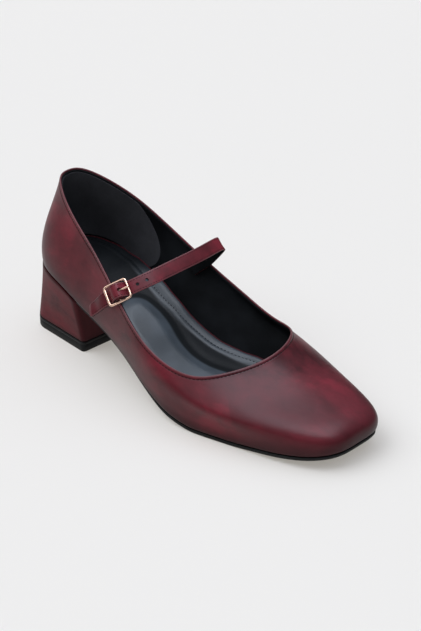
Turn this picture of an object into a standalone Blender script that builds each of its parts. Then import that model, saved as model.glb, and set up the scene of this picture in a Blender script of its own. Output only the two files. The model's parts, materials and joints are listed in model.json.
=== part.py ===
"""Mary jane pump for the right foot: a low square-toed shell on a block heel, with a buckled instep strap.

The shoe stands on the floor (z = 0) and points along +X. Its inner side, towards the other foot, is +Y.
The shell is worked out from sections that stand round the shoe: each one is a curve from the feather
line, where upper and sole meet, up to the topline. The sections are rows of a table, as shares of the
named sizes, and smooth closed curves run through the rows.
"""

import math

import bpy
import numpy as np
from mathutils import Matrix, Vector

# Last and upper, in metres
LENGTH = 0.242
BALL_WIDTH = 0.078
HEEL_RISE = 0.049
TOE_SPRING = 0.0085
BACK_HEIGHT = 0.0543
INSTEP_HEIGHT = 0.037
UPPER_WALL = 0.0018
LASTING_MARGIN = 0.009
FEATHER_CHAMFER = 0.0012

# Sole, insole and heel
OUTSOLE_THICKNESS = 0.0022
OUTSOLE_INSET = 0.0012
OUTSOLE_CHAMFER = 0.0006
INSOLE_THICKNESS = 0.0026
INSOLE_PAD_RISE = 0.0018
INSOLE_BAND = 0.0105
INSOLE_ARCH_RISE = 0.0064
INSOLE_ARCH_TILT = 0.3
HEEL_BREAST = 0.0505
HEEL_TOP_PROUD = 0.0005
HEEL_FOOT_BACK = -0.0065
HEEL_FOOT_SETBACK = 0.003
HEEL_FOOT_WIDTH = 0.0455
HEEL_FOOT_BACK_WIDTH = 0.0365
HEEL_FOOT_CORNER = 0.0125
HEEL_FRONT_CORNER = 0.003
HEEL_WAIST = 0.0002
LIFT_THICKNESS = 0.0067
LIFT_CHAMFER = 0.0007

# Strap and buckle
STRAP_WIDTH = 0.0086
STRAP_THICKNESS = 0.0016
STRAP_INNER_PLACE = 0.096
STRAP_OUTER_PLACE = 0.0925
STRAP_RISE = 0.0142
STRAP_SEWN_LENGTH = 0.009
STRAP_INNER_PITCH = math.radians(48)
STRAP_OUTER_PITCH = math.radians(42)
STRAP_TAIL_LENGTH = 0.0165
STRAP_TAIL_STAND = math.radians(17)
STRAP_TAIL_TWIST = math.radians(22)
STRAP_HOLE_RADIUS = 0.00105
STRAP_HOLE_START = 0.0027
STRAP_HOLE_SPACING = 0.0059
STRAP_SPARE_HOLES = 3
TAB_THICKNESS = 0.0011
TAB_WIDTH = 0.0082
TAB_SEWN_LENGTH = 0.009
BUCKLE_LENGTH = 0.0134
BUCKLE_WIDTH = 0.0116
BUCKLE_WIRE = 0.0015
BUCKLE_LIFT = 0.0038
BUCKLE_OUT = 0.0019
BUCKLE_TILT = math.radians(45)
PRONG_WIRE = 0.0012

# Clearance between pieces that meet
GAP = 0.0003
SEAM_GAP = 0.0003
WALL_CLEARANCE = 0.0006

# How finely the surfaces are divided
ROUND_STEPS = 112
WALL_STEPS = 10
WIRE_SIDES = 8

# Sections of the upper. The foot of a section lies on the feather line and its top on the topline.
# along is a share of LENGTH, across of BALL_WIDTH (outer side negative), rise of the wall's height there.
# lean is the angle to the vertical in degrees, and reach the length of the curve's handle, as a share of
# the distance from foot to top.
SECTIONS = (
    # name, foot along, foot across, top along, top across, rise, foot lean, foot reach, top lean, top reach
    ("heel_back", 0.000, 0.010, 0.043, 0.014, 1.020, 7, 0.36, 16, 0.33),
    ("heel_outer", 0.025, -0.214, 0.061, -0.114, 1.010, 10, 0.37, 14, 0.35),
    ("seat_outer", 0.108, -0.367, 0.143, -0.259, 0.925, 12, 0.34, 11, 0.31),
    ("arch_outer", 0.247, -0.400, 0.276, -0.374, 0.896, 15, 0.34, 8, 0.29),
    ("waist_outer", 0.396, -0.453, 0.408, -0.485, 0.747, 18, 0.37, 5, 0.31),
    ("joint_outer", 0.596, -0.551, 0.538, -0.555, 0.728, 10, 0.38, 25, 0.33),
    ("tread_outer", 0.773, -0.450, 0.638, -0.495, 0.786, 5, 0.41, 46, 0.52),
    ("toe_side_outer", 0.917, -0.340, 0.695, -0.318, 0.867, 5, 0.31, 58, 0.54),
    ("toe_corner_outer", 0.981, -0.187, 0.722, -0.124, 0.930, 9, 0.29, 61, 0.62),
    ("toe_tip", 0.993, 0.050, 0.733, 0.083, 1.000, 14, 0.30, 62, 0.66),
    ("toe_corner_inner", 0.982, 0.279, 0.719, 0.276, 1.014, 17, 0.26, 55, 0.59),
    ("toe_side_inner", 0.900, 0.384, 0.679, 0.454, 0.949, 10, 0.25, 50, 0.50),
    ("tread_inner", 0.779, 0.445, 0.606, 0.527, 0.832, 11, 0.30, 41, 0.41),
    ("joint_inner", 0.648, 0.440, 0.517, 0.519, 0.793, 13, 0.26, 24, 0.24),
    ("waist_inner", 0.427, 0.238, 0.391, 0.449, 0.823, 15, 0.27, 8, 0.24),
    ("arch_inner", 0.264, 0.277, 0.264, 0.372, 0.944, 12, 0.30, 8, 0.26),
    ("seat_inner", 0.114, 0.337, 0.137, 0.286, 0.954, 11, 0.32, 12, 0.28),
    ("heel_inner", 0.026, 0.231, 0.056, 0.141, 1.017, 8, 0.35, 15, 0.32),
)

# Height of the feather line over its lowest stretch, from the seat of the heel to the toe.
BOTTOM_LINE = (
    # name, along as a share of LENGTH, share of HEEL_RISE, share of TOE_SPRING
    ("seat_back", 0.00, 1.000, 0.00),
    ("seat_front", 0.13, 0.905, 0.00),
    ("arch_back", 0.25, 0.685, 0.00),
    ("arch_front", 0.38, 0.470, 0.00),
    ("waist", 0.50, 0.225, 0.00),
    ("joint", 0.60, 0.050, 0.00),
    ("tread_back", 0.665, 0.000, 0.00),
    ("tread_front", 0.745, 0.000, 0.00),
    ("toe_back", 0.83, 0.000, 0.20),
    ("toe_middle", 0.92, 0.000, 0.53),
    ("toe_tip", 1.00, 0.000, 1.00),
)

# How far the outsole's edge lies inside the feather line, as a share of OUTSOLE_INSET.
OUTSOLE_EDGE = (
    # name, along as a share of LENGTH, share of OUTSOLE_INSET
    ("breast", 0.15, 1.0),
    ("waist", 0.45, 0.8),
    ("joint", 0.58, 0.1),
    ("toe", 1.00, 0.1),
)

# Top of the insole, from its edge inwards: a flat band, a sewn groove and a soft raised pad.
INSOLE_STEPS = (
    # name, distance from the edge as a share of INSOLE_BAND, rise over the band as a share of INSOLE_PAD_RISE
    ("edge", 0.00, -0.25),
    ("band", 0.08, 0.00),
    ("groove_edge", 0.85, 0.00),
    ("groove", 1.05, -0.55),
    ("pad_edge", 1.35, 0.45),
    ("pad_shoulder", 1.60, 0.90),
    ("pad_top", 1.90, 1.00),
)

# Height that the insole gains under the arch, at its inner edge.
INSOLE_ARCH = (
    # name, along as a share of LENGTH, share of INSOLE_ARCH_RISE
    ("seat", 0.09, 0.00),
    ("seat_front", 0.165, 0.33),
    ("arch_back", 0.215, 0.86),
    ("arch_top", 0.255, 1.00),
    ("arch_middle", 0.31, 0.84),
    ("arch_front", 0.35, 0.55),
    ("waist", 0.43, 0.22),
    ("joint", 0.50, 0.00),
)

# Course of the strap over the instep, between the topline's inner and outer side.
STRAP_COURSE = (
    # name, share of the way across, forward and up as shares of STRAP_RISE
    ("corner_low", -0.084, 0.46, 0.72),
    ("corner", -0.081, 0.53, 0.84),
    ("corner_over", -0.056, 0.56, 0.89),
    ("inner_span", 0.238, 0.80, 0.90),
    ("middle", 0.584, 0.78, 0.74),
    ("outer_span", 0.800, 0.69, 0.59),
)

# Colours, roughness and metallic value
FINISHES = {
    "burgundy_leather": ((0.10, 0.018, 0.024), 0.38, 0.0),
    "heel_leather": ((0.11, 0.026, 0.028), 0.42, 0.0),
    "black_sock": ((0.018, 0.021, 0.025), 0.5, 0.0),
    "black_sole": ((0.012, 0.013, 0.014), 0.55, 0.0),
    "rose_gold": ((0.80, 0.55, 0.43), 0.25, 1.0),
}


def column(table, index):
    """One column of a table whose first column holds names."""
    return np.array([row[index] for row in table], float)


def steady(x, knots, values):
    """A smooth curve through the knots that never overshoots between them."""
    step = np.diff(knots)
    rate = np.diff(values) / step
    slope = np.empty(len(knots))
    slope[0] = rate[0]
    slope[-1] = rate[-1]
    for k in range(1, len(knots) - 1):
        same_way = rate[k - 1] * rate[k] > 0
        slope[k] = 2 * rate[k - 1] * rate[k] / (rate[k - 1] + rate[k]) if same_way else 0.0
    x = np.clip(x, knots[0], knots[-1])
    k = np.clip(np.searchsorted(knots, x, side="right") - 1, 0, len(step) - 1)
    u = (x - knots[k]) / step[k]
    start = values[k] * (1 + 2 * u) * (1 - u) ** 2 + slope[k] * step[k] * u * (1 - u) ** 2
    end = values[k + 1] * u**2 * (3 - 2 * u) - slope[k + 1] * step[k] * u**2 * (1 - u)
    return start + end


class ClosedCurve:
    """A closed cubic curve through rows of values. Its parameter runs from 0 to 1, once round."""

    def __init__(self, knots, rows):
        count = len(rows)
        self.knots = np.append(knots, 1.0)
        self.step = np.diff(self.knots)
        self.rows = np.vstack([rows, rows[:1]])
        system = np.zeros((count, count))
        right = np.zeros(rows.shape)
        for k in range(count):
            before = self.step[k - 1]
            after = self.step[k]
            system[k, k - 1] += 1 / before
            system[k, k] += 2 / before + 2 / after
            system[k, (k + 1) % count] += 1 / after
            back = (rows[k] - rows[k - 1]) / before**2
            ahead = (rows[(k + 1) % count] - rows[k]) / after**2
            right[k] = 3 * (back + ahead)
        slopes = np.linalg.solve(system, right)
        self.slopes = np.vstack([slopes, slopes[:1]])

    def at(self, t):
        """Values and their rate of change at each t."""
        t = np.asarray(t) % 1.0
        k = np.clip(np.searchsorted(self.knots, t, side="right") - 1, 0, len(self.step) - 1)
        h = self.step[k][:, None]
        u = (t - self.knots[k])[:, None] / h
        first = self.rows[k]
        last = self.rows[k + 1]
        start = self.slopes[k] * h
        end = self.slopes[k + 1] * h
        rise = last - first
        value = first + u * start + u**2 * (3 * rise - 2 * start - end) + u**3 * (start + end - 2 * rise)
        rate = start + 2 * u * (3 * rise - 2 * start - end) + 3 * u**2 * (start + end - 2 * rise)
        return value, rate / h


def bottom_height(x):
    """Height of the feather line over the floor at a place along the shoe."""
    along = column(BOTTOM_LINE, 1) * LENGTH
    heights = column(BOTTOM_LINE, 2) * HEEL_RISE + column(BOTTOM_LINE, 3) * TOE_SPRING
    return OUTSOLE_THICKNESS + GAP + steady(x, along, heights)


def outward(rate):
    """Unit vectors across a curve that runs anticlockwise, seen from above, pointing out of it."""
    across = np.column_stack([rate[:, 1], -rate[:, 0]])
    return across / np.linalg.norm(across, axis=1)[:, None]


class Last:
    """The shape of the shell: its feather line, its topline and the wall between them."""

    def __init__(self):
        foot = np.column_stack([column(SECTIONS, 1) * LENGTH, column(SECTIONS, 2) * BALL_WIDTH])
        top_x = column(SECTIONS, 3) * LENGTH
        throat = top_x.max()
        wall_height = BACK_HEIGHT + (INSTEP_HEIGHT - BACK_HEIGHT) * top_x / throat
        top_z = bottom_height(top_x) + wall_height * column(SECTIONS, 5)
        top = np.column_stack([top_x, column(SECTIONS, 4) * BALL_WIDTH, top_z])
        handles = np.column_stack([column(SECTIONS, k) for k in (6, 7, 8, 9)])
        knots = self.spacing(foot, top[:, :2])
        self.foot_curve = ClosedCurve(knots, foot)
        self.top_curve = ClosedCurve(knots, top)
        self.handle_curve = ClosedCurve(knots, handles)

    @staticmethod
    def spacing(foot, top):
        """Shares of the way round at which the sections stand, by the distance between them."""
        middle = (foot + top) / 2
        steps = []
        for line in (middle, foot):
            closed = np.vstack([line, line[:1]])
            steps.append(np.linalg.norm(np.diff(closed, axis=0), axis=1))
        step = np.sqrt(steps[0] * steps[1])
        return np.concatenate([[0], np.cumsum(step)[:-1]]) / step.sum()

    def feather(self, t):
        """Points of the feather line and the directions out of it, level."""
        flat, rate = self.foot_curve.at(t)
        return np.column_stack([flat, bottom_height(flat[:, 0])]), outward(rate)

    def handles(self, t):
        """The four points of each section's curve, from foot to top."""
        foot, foot_out = self.feather(t)
        top, rate = self.top_curve.at(t)
        top_out = outward(rate[:, :2])
        shape, _ = self.handle_curve.at(t)
        span = np.linalg.norm(top - foot, axis=1)
        foot_lean = np.radians(shape[:, 0])
        top_lean = np.radians(shape[:, 2])
        rising = np.column_stack([foot_out * np.sin(foot_lean)[:, None], np.cos(foot_lean)])
        falling = np.column_stack([top_out * np.sin(top_lean)[:, None], -np.cos(top_lean)])
        low = foot + rising * (shape[:, 1] * span)[:, None]
        high = top + falling * (shape[:, 3] * span)[:, None]
        return foot, low, high, top

    def surface(self, t, s):
        """Points of the outer surface, t round the shoe and s from feather line to topline."""
        foot, low, high, top = self.handles(t)
        s = np.asarray(s)[:, None]
        return (1 - s) ** 3 * foot + 3 * s * (1 - s) ** 2 * low + 3 * s**2 * (1 - s) * high + s**3 * top

    def normal(self, t, s):
        """Unit vectors out of the outer surface."""
        nudge = 1e-4
        t = np.asarray(t)
        s = np.clip(np.asarray(s), nudge, 1 - nudge)
        round_way = self.surface(t + nudge, s) - self.surface(t - nudge, s)
        up_way = self.surface(t, s + nudge) - self.surface(t, s - nudge)
        out = np.cross(round_way, up_way)
        return out / np.linalg.norm(out, axis=1)[:, None]

    def lining(self, t, s):
        """Points of the inner surface, a wall's thickness inside the outer one."""
        return self.surface(t, s) - UPPER_WALL * self.normal(t, s)

    def lowest_lining(self, t):
        """The s at which the wall stands on the turned-in lasting margin."""
        foot, low, _, _ = self.handles(t)
        return UPPER_WALL / (3 * np.linalg.norm(low - foot, axis=1))

    def lining_at_height(self, t, height):
        """Points of the inner surface at heights over the floor, found low on the wall."""
        low = self.lowest_lining(t)
        high = np.full(len(t), 0.6)
        for _ in range(30):
            middle = (low + high) / 2
            below = self.lining(t, middle)[:, 2] < height
            low = np.where(below, middle, low)
            high = np.where(below, high, middle)
        return self.lining(t, middle)

    def inside_at(self, x, z, t):
        """The point of the inner surface at a place along the shoe and a height, found from a t near it."""
        nudge = 1e-4
        s = 0.9
        for _ in range(12):
            here, beside, above = self.lining([t, t + nudge, t], [s, s, s + nudge])
            turn = np.column_stack([beside - here, above - here])[[0, 2]] / nudge
            t_change, s_change = np.linalg.solve(turn, (x - here[0], z - here[2]))
            t += t_change
            s += s_change
        return here

    def topline_place(self, x, inner_side):
        """The t at which the topline passes a place along the shoe, on the inner or the outer side."""
        t = np.linspace(0, 1, 2001)[:-1]
        top, _ = self.top_curve.at(t)
        side = top[:, 1] > 0 if inner_side else top[:, 1] < 0
        missed = np.where(side, np.abs(top[:, 0] - x), np.inf)
        return t[np.argmin(missed)]


def inset(points, distance):
    """Points moved from an outline towards the middle line of the shoe, so that no corner folds over."""
    points = np.asarray(points)
    back = points[:, 0].min() + BALL_WIDTH * 0.37
    front = points[:, 0].max() - BALL_WIDTH * 0.37
    middle_x = np.clip(points[:, 0], back, front)
    order = np.linspace(back, front, 60)
    outer, inner = sides(points)
    middle_y = (np.interp(order, outer[:, 0], outer[:, 1]) + np.interp(order, inner[:, 0], inner[:, 1])) / 2
    towards = np.column_stack([middle_x, np.interp(middle_x, order, middle_y)]) - points
    return points + towards * (distance / np.linalg.norm(towards, axis=1))[:, None]


def sides(points):
    """The outer and the inner side of an outline, each from back to front."""
    outline = np.asarray(points)
    back = np.argmin(outline[:, 0])
    turned = np.roll(outline, -back, axis=0)
    front = np.argmax(turned[:, 0])
    outer = turned[: front + 1]
    inner = np.vstack([turned[:1], turned[front:][::-1]])
    return outer, inner


class Shell:
    """Collects points and faces of one piece."""

    def __init__(self):
        self.points = []
        self.faces = []

    def add_points(self, points):
        """Adds points and returns their numbers."""
        first = len(self.points)
        self.points.extend(tuple(float(value) for value in point) for point in points)
        return list(range(first, len(self.points)))

    def bridge(self, low, high, closed=True):
        """Faces between two rows of points, low to high."""
        count = len(low) if closed else len(low) - 1
        for k in range(count):
            after = (k + 1) % len(low)
            self.faces.append((low[k], low[after], high[after], high[k]))

    def stack(self, rings, closed=True):
        """Faces between each ring and the next, and between the last and the first one."""
        for low, high in zip(rings, rings[1:] + (rings[:1] if closed else [])):
            self.bridge(low, high)

    def lid(self, ring, facing_up):
        """Closes a ring with strips that run across the shoe, so that its top follows the height along it."""
        along = [self.points[number][0] for number in ring]
        back = along.index(min(along))
        turned = ring[back:] + ring[:back]
        front = max(range(len(turned)), key=lambda k: self.points[turned[k]][0])
        outer = turned[: front + 1]
        inner = [turned[0]] + turned[front:][::-1]
        i = 0
        j = 0
        while i < len(outer) - 1 or j < len(inner) - 1:
            outer_next = self.points[outer[i + 1]][0] if i < len(outer) - 1 else math.inf
            inner_next = self.points[inner[j + 1]][0] if j < len(inner) - 1 else math.inf
            if outer_next <= inner_next:
                face = (outer[i], outer[i + 1], inner[j])
                i += 1
            else:
                face = (outer[i], inner[j + 1], inner[j])
                j += 1
            if len(set(face)) == 3:
                self.faces.append(face if facing_up else face[::-1])

    def make(self, name, finish, smooth_angle=40):
        """The mesh object of the collected faces."""
        mesh = bpy.data.meshes.new(name)
        mesh.from_pydata(self.points, [], self.faces)
        mesh.validate()
        mesh.shade_smooth()
        mesh.set_sharp_from_angle(angle=math.radians(smooth_angle))
        mesh.materials.append(finish_material(finish))
        made = bpy.data.objects.new(name, mesh)
        bpy.context.scene.collection.objects.link(made)
        return made


def finish_material(finish):
    """The material of a finish, made once."""
    if finish in bpy.data.materials:
        return bpy.data.materials[finish]
    colour, roughness, metallic = FINISHES[finish]
    material = bpy.data.materials.new(finish)
    material.use_nodes = True
    shader = material.node_tree.nodes["Principled BSDF"]
    shader.inputs["Base Color"].default_value = (*colour, 1.0)
    shader.inputs["Roughness"].default_value = roughness
    shader.inputs["Metallic"].default_value = metallic
    return material


def with_height(flat, lift):
    """Level points set at a distance over the feather line's height."""
    return np.column_stack([flat, bottom_height(flat[:, 0]) + lift])


def make_upper(last):
    """The hollow shell, open at the topline and underneath, with its margin turned in at the bottom."""
    t = np.arange(ROUND_STEPS) / ROUND_STEPS
    foot, foot_out = last.feather(t)
    shell = Shell()
    rings = []

    def ring(points):
        rings.append(shell.add_points(points))

    ring(with_height(foot[:, :2] - foot_out * LASTING_MARGIN, 0.0))
    ring(with_height(foot[:, :2] - foot_out * FEATHER_CHAMFER, 0.0))
    first = FEATHER_CHAMFER / (3 * np.linalg.norm(last.handles(t)[1] - foot, axis=1))
    for k in range(WALL_STEPS + 1):
        ring(last.surface(t, first + (1 - first) * k / WALL_STEPS))
    top_edge = last.surface(t, np.ones(ROUND_STEPS))
    edge_up = top_edge - last.surface(t, np.full(ROUND_STEPS, 0.98))
    edge_up /= np.linalg.norm(edge_up, axis=1)[:, None]
    edge_middle = (top_edge + last.lining(t, np.ones(ROUND_STEPS))) / 2
    ring(edge_middle + edge_up * UPPER_WALL * 0.35)
    lowest = last.lowest_lining(t)
    for k in range(WALL_STEPS, 0, -1):
        ring(last.lining(t, lowest + (1 - lowest) * k / WALL_STEPS))
    ring(with_height(last.lining(t, lowest)[:, :2], UPPER_WALL))
    ring(with_height(foot[:, :2] - foot_out * LASTING_MARGIN, UPPER_WALL))
    shell.stack(rings)
    return shell.make("upper", "burgundy_leather")


def arch_rise(flat):
    """Height that the insole gains under the arch, less on the outer side than on the inner one."""
    along = steady(flat[:, 0], column(INSOLE_ARCH, 1) * LENGTH, column(INSOLE_ARCH, 2))
    side = np.clip(flat[:, 1] / (BALL_WIDTH * 0.3), -1, 1)
    return INSOLE_ARCH_RISE * along * (1 - INSOLE_ARCH_TILT * (1 - side))


def make_insole(last):
    """The insole with its padded sock, lying on the turned-in margin and thicker under the arch."""
    t = np.arange(ROUND_STEPS) / ROUND_STEPS
    foot, foot_out = last.feather(t)
    low_outline = foot[:, :2] - foot_out * (UPPER_WALL + WALL_CLEARANCE)
    base = UPPER_WALL + GAP
    edge_height = bottom_height(foot[:, 0]) + base + INSOLE_THICKNESS + arch_rise(foot)
    top_outline = last.lining_at_height(t, edge_height)[:, :2] - foot_out * WALL_CLEARANCE
    shell = Shell()
    rings = [shell.add_points(with_height(low_outline, base))]
    for _, distance, rise in INSOLE_STEPS:
        flat = inset(top_outline, distance * INSOLE_BAND)
        lift = base + INSOLE_THICKNESS + rise * INSOLE_PAD_RISE + arch_rise(flat)
        rings.append(shell.add_points(with_height(flat, lift)))
    shell.stack(rings, closed=False)
    shell.lid(rings[0], facing_up=False)
    shell.lid(rings[-1], facing_up=True)
    return shell.make("insole", "black_sock", smooth_angle=60)


def outsole_outline(last):
    """The outsole's level outline, cut straight behind at the heel's breast."""
    t = np.arange(ROUND_STEPS) / ROUND_STEPS
    foot, foot_out = last.feather(t)
    inside = OUTSOLE_INSET * steady(foot[:, 0], column(OUTSOLE_EDGE, 1) * LENGTH, column(OUTSOLE_EDGE, 2))
    edge = foot[:, :2] - foot_out * inside[:, None]
    outer, inner = sides(edge)
    start = HEEL_BREAST + GAP
    outer_start = np.interp(start, outer[:, 0], outer[:, 1])
    inner_start = np.interp(start, inner[:, 0], inner[:, 1])
    kept_outer = outer[outer[:, 0] > start + OUTSOLE_CHAMFER]
    kept_inner = inner[inner[:, 0] > start + OUTSOLE_CHAMFER][:-1]
    return np.vstack([[(start, outer_start)], kept_outer, kept_inner[::-1], [(start, inner_start)]])


def make_outsole(last):
    """The thin sole from the heel's breast to the toe, flat where it treads."""
    outline = outsole_outline(last)
    bottom = -GAP - OUTSOLE_THICKNESS
    shell = Shell()
    rings = [
        shell.add_points(with_height(inset(outline, OUTSOLE_CHAMFER), bottom)),
        shell.add_points(with_height(outline, bottom + OUTSOLE_CHAMFER)),
        shell.add_points(with_height(outline, -GAP)),
    ]
    shell.stack(rings, closed=False)
    shell.lid(rings[0], facing_up=False)
    shell.lid(rings[-1], facing_up=True)
    return shell.make("outsole", "black_sole")


def evenly(points, count):
    """A line of points resampled at even distances."""
    points = np.asarray(points)
    run = np.concatenate([[0], np.cumsum(np.linalg.norm(np.diff(points, axis=0), axis=1))])
    marks = np.linspace(0, run[-1], count)
    return np.column_stack([np.interp(marks, run, points[:, k]) for k in range(points.shape[1])])


def with_front_corners(line, radius, steps=4, count=40):
    """A ring made from a U-shaped line, outer front to inner front, with its front corners rounded."""
    line = np.asarray(line)
    run = np.concatenate([[0], np.cumsum(np.linalg.norm(np.diff(line, axis=0), axis=1))])
    marks = np.linspace(radius, run[-1] - radius, count)
    middle = np.column_stack([np.interp(marks, run, line[:, k]) for k in range(2)])
    across = (line[-1] - line[0]) / np.linalg.norm(line[-1] - line[0])
    outer_arc = corner_arc(line[0] + across * radius, line[0], middle[0], steps)
    inner_arc = corner_arc(middle[-1], line[-1], line[-1] - across * radius, steps)
    return np.vstack([outer_arc[:-1], middle, inner_arc[1:]])[::-1]


def corner_arc(start, corner, end, steps):
    """A soft turn from start to end, bent towards the corner."""
    u = np.linspace(0, 1, steps + 1)[:, None]
    return (1 - u) ** 2 * start + 2 * u * (1 - u) * corner + u**2 * end


def heel_top_outline(last):
    """The block's upper outline, a little proud of the seat, from the breast round the back."""
    t = np.linspace(0, 1, 801)[:-1]
    foot, foot_out = last.feather(t)
    outer, inner = sides(foot[:, :2] + foot_out * HEEL_TOP_PROUD)
    outer_kept = outer[outer[:, 0] < HEEL_BREAST]
    inner_kept = inner[inner[:, 0] < HEEL_BREAST]
    outer_end = (HEEL_BREAST, np.interp(HEEL_BREAST, outer[:, 0], outer[:, 1]))
    inner_end = (HEEL_BREAST, np.interp(HEEL_BREAST, inner[:, 0], inner[:, 1]))
    line = np.vstack([[outer_end], outer_kept[::-1], inner_kept[1:], [inner_end]])
    return with_front_corners(line, HEEL_FRONT_CORNER)


def heel_foot_outline():
    """The block's outline where it stands on its top lift."""
    foot_front = HEEL_BREAST - HEEL_FOOT_SETBACK
    front_half = HEEL_FOOT_WIDTH / 2
    back_half = HEEL_FOOT_BACK_WIDTH / 2
    radius = HEEL_FOOT_CORNER
    share = radius / (foot_front - HEEL_FOOT_BACK)
    side_half = back_half + (front_half - back_half) * share
    turn_in = (HEEL_FOOT_BACK + radius, side_half)
    corner = (HEEL_FOOT_BACK, back_half)
    turn_out = (HEEL_FOOT_BACK, back_half - radius)
    inner_arc = corner_arc(np.array(turn_out), np.array(corner), np.array(turn_in), 8)
    outer_arc = inner_arc[::-1] * (1, -1)
    line = np.vstack([[(foot_front, -front_half)], outer_arc, inner_arc, [(foot_front, front_half)]])
    return with_front_corners(line, HEEL_FRONT_CORNER)


def make_heel(last):
    """The block, from the seat down to its squarer foot, with a slight waist."""
    top = heel_top_outline(last)
    foot = heel_foot_outline()
    centre = foot.mean(axis=0)
    top_points = with_height(top, -GAP)
    foot_points = np.column_stack([foot, np.full(len(foot), LIFT_THICKNESS + GAP)])
    shell = Shell()
    rings = []
    for share in (0.0, 0.25, 0.5, 0.75, 1.0):
        level = foot_points * (1 - share) + top_points * share
        inwards = centre - level[:, :2]
        inwards /= np.linalg.norm(inwards, axis=1)[:, None]
        level[:, :2] += inwards * HEEL_WAIST * 4 * share * (1 - share)
        rings.append(shell.add_points(level))
    shell.stack(rings, closed=False)
    shell.lid(rings[0], facing_up=False)
    shell.lid(rings[-1], facing_up=True)
    return shell.make("heel", "heel_leather")


def make_heel_lift():
    """The top lift that the heel stands on."""
    outline = heel_foot_outline()
    centre = outline.mean(axis=0)
    inwards = centre - outline
    inwards /= np.linalg.norm(inwards, axis=1)[:, None]
    shell = Shell()
    rings = []
    for flat, height in (
        (outline + inwards * LIFT_CHAMFER, 0.0),
        (outline, LIFT_CHAMFER),
        (outline, LIFT_THICKNESS),
    ):
        rings.append(shell.add_points(np.column_stack([flat, np.full(len(flat), height)])))
    shell.stack(rings, closed=False)
    shell.lid(rings[0], facing_up=False)
    shell.lid(rings[-1], facing_up=True)
    return shell.make("heel_lift", "black_sole")


class WallSeat:
    """Directions at a place of the topline where a strap is sewn inside the wall, over a depth of it."""

    def __init__(self, last, place, depth, pitch, inner_side):
        t = last.topline_place(place, inner_side)
        edge, before, after = last.lining([t, t - 0.005, t + 0.005], [1.0, 1.0, 1.0])
        deep = last.inside_at(edge[0] - depth * math.sin(pitch), edge[2] - depth * math.cos(pitch), t)
        self.edge = Vector(edge)
        self.out = (Vector(after) - Vector(before)).cross(self.edge - Vector(deep)).normalized()
        down_instep = Vector((math.cos(pitch), 0.0, -math.sin(pitch)))
        self.across = (down_instep - self.out * down_instep.dot(self.out)).normalized()
        self.down = self.across.cross(self.out).normalized()
        if self.down.z > 0:
            self.down = -self.down


def flow(points, spacing):
    """Even points on a smooth line that passes through the given ones without swinging wide."""
    points = [Vector(point) for point in points]
    ends = [points[0] * 2 - points[1], *points, points[-1] * 2 - points[-2]]
    line = []
    for before, start, end, after in zip(ends, ends[1:], ends[2:], ends[3:]):
        t0 = 0.0
        t1 = t0 + max((start - before).length, 1e-6) ** 0.5
        t2 = t1 + max((end - start).length, 1e-6) ** 0.5
        t3 = t2 + max((after - end).length, 1e-6) ** 0.5
        for k in range(12):
            t = t1 + (t2 - t1) * k / 12
            a1 = before * ((t1 - t) / (t1 - t0)) + start * ((t - t0) / (t1 - t0))
            a2 = start * ((t2 - t) / (t2 - t1)) + end * ((t - t1) / (t2 - t1))
            a3 = end * ((t3 - t) / (t3 - t2)) + after * ((t - t2) / (t3 - t2))
            b1 = a1 * ((t2 - t) / (t2 - t0)) + a2 * ((t - t0) / (t2 - t0))
            b2 = a2 * ((t3 - t) / (t3 - t1)) + a3 * ((t - t1) / (t3 - t1))
            line.append(b1 * ((t2 - t) / (t2 - t1)) + b2 * ((t - t1) / (t2 - t1)))
    line.append(points[-1])
    length = sum((b - a).length for a, b in zip(line, line[1:]))
    return evenly(np.array([tuple(point) for point in line]), max(round(length / spacing), 2) + 1)


def ribbon(centre, across, width, thickness):
    """A flat band along a line, with a width direction for each point."""
    tangent = np.gradient(centre, axis=0)
    tangent /= np.linalg.norm(tangent, axis=1)[:, None]
    across = across - tangent * (across * tangent).sum(axis=1)[:, None]
    across /= np.linalg.norm(across, axis=1)[:, None]
    over = np.cross(tangent, across)
    shell = Shell()
    rows = []
    for side, face in ((-1, -1), (1, -1), (1, 1), (-1, 1)):
        rows.append(shell.add_points(centre + across * side * width / 2 + over * face * thickness / 2))
    for row, following in zip(rows, rows[1:] + rows[:1]):
        shell.bridge(row, following, closed=False)
    shell.faces.append(tuple(row[0] for row in rows))
    shell.faces.append(tuple(row[-1] for row in reversed(rows)))
    return shell


class Buckle:
    """Place of the buckle: its centre bar over the topline, its length along the strap."""

    def __init__(self, last):
        self.seat = WallSeat(last, STRAP_OUTER_PLACE, TAB_SEWN_LENGTH, STRAP_OUTER_PITCH, inner_side=False)
        self.centre = self.seat.edge - self.seat.down * BUCKLE_LIFT + self.seat.out * BUCKLE_OUT
        tilt = math.cos(BUCKLE_TILT)
        self.along = (self.seat.down * tilt + self.seat.out * math.sin(BUCKLE_TILT)).normalized()
        self.across = self.seat.across
        self.up = self.along.cross(self.across).normalized()
        if self.up.z < 0:
            self.across = -self.across
            self.up = -self.up
        axes = Matrix((self.along, self.across, self.up)).transposed()
        self.matrix = Matrix.Translation(self.centre) @ axes.to_4x4()

    def point(self, along, up):
        """A point on the buckle's middle line."""
        return self.centre + self.along * along + self.up * up


def strap_under_bar():
    """How far the strap's middle lies under the plane of the buckle at its two end bars."""
    return BUCKLE_WIRE / 2 + WALL_CLEARANCE + STRAP_THICKNESS / 2


def strap_over_bar():
    """How far the strap's middle lies over the plane of the buckle at its centre bar."""
    return BUCKLE_WIRE / 2 + SEAM_GAP + TAB_THICKNESS + WALL_CLEARANCE + STRAP_THICKNESS / 2


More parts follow.
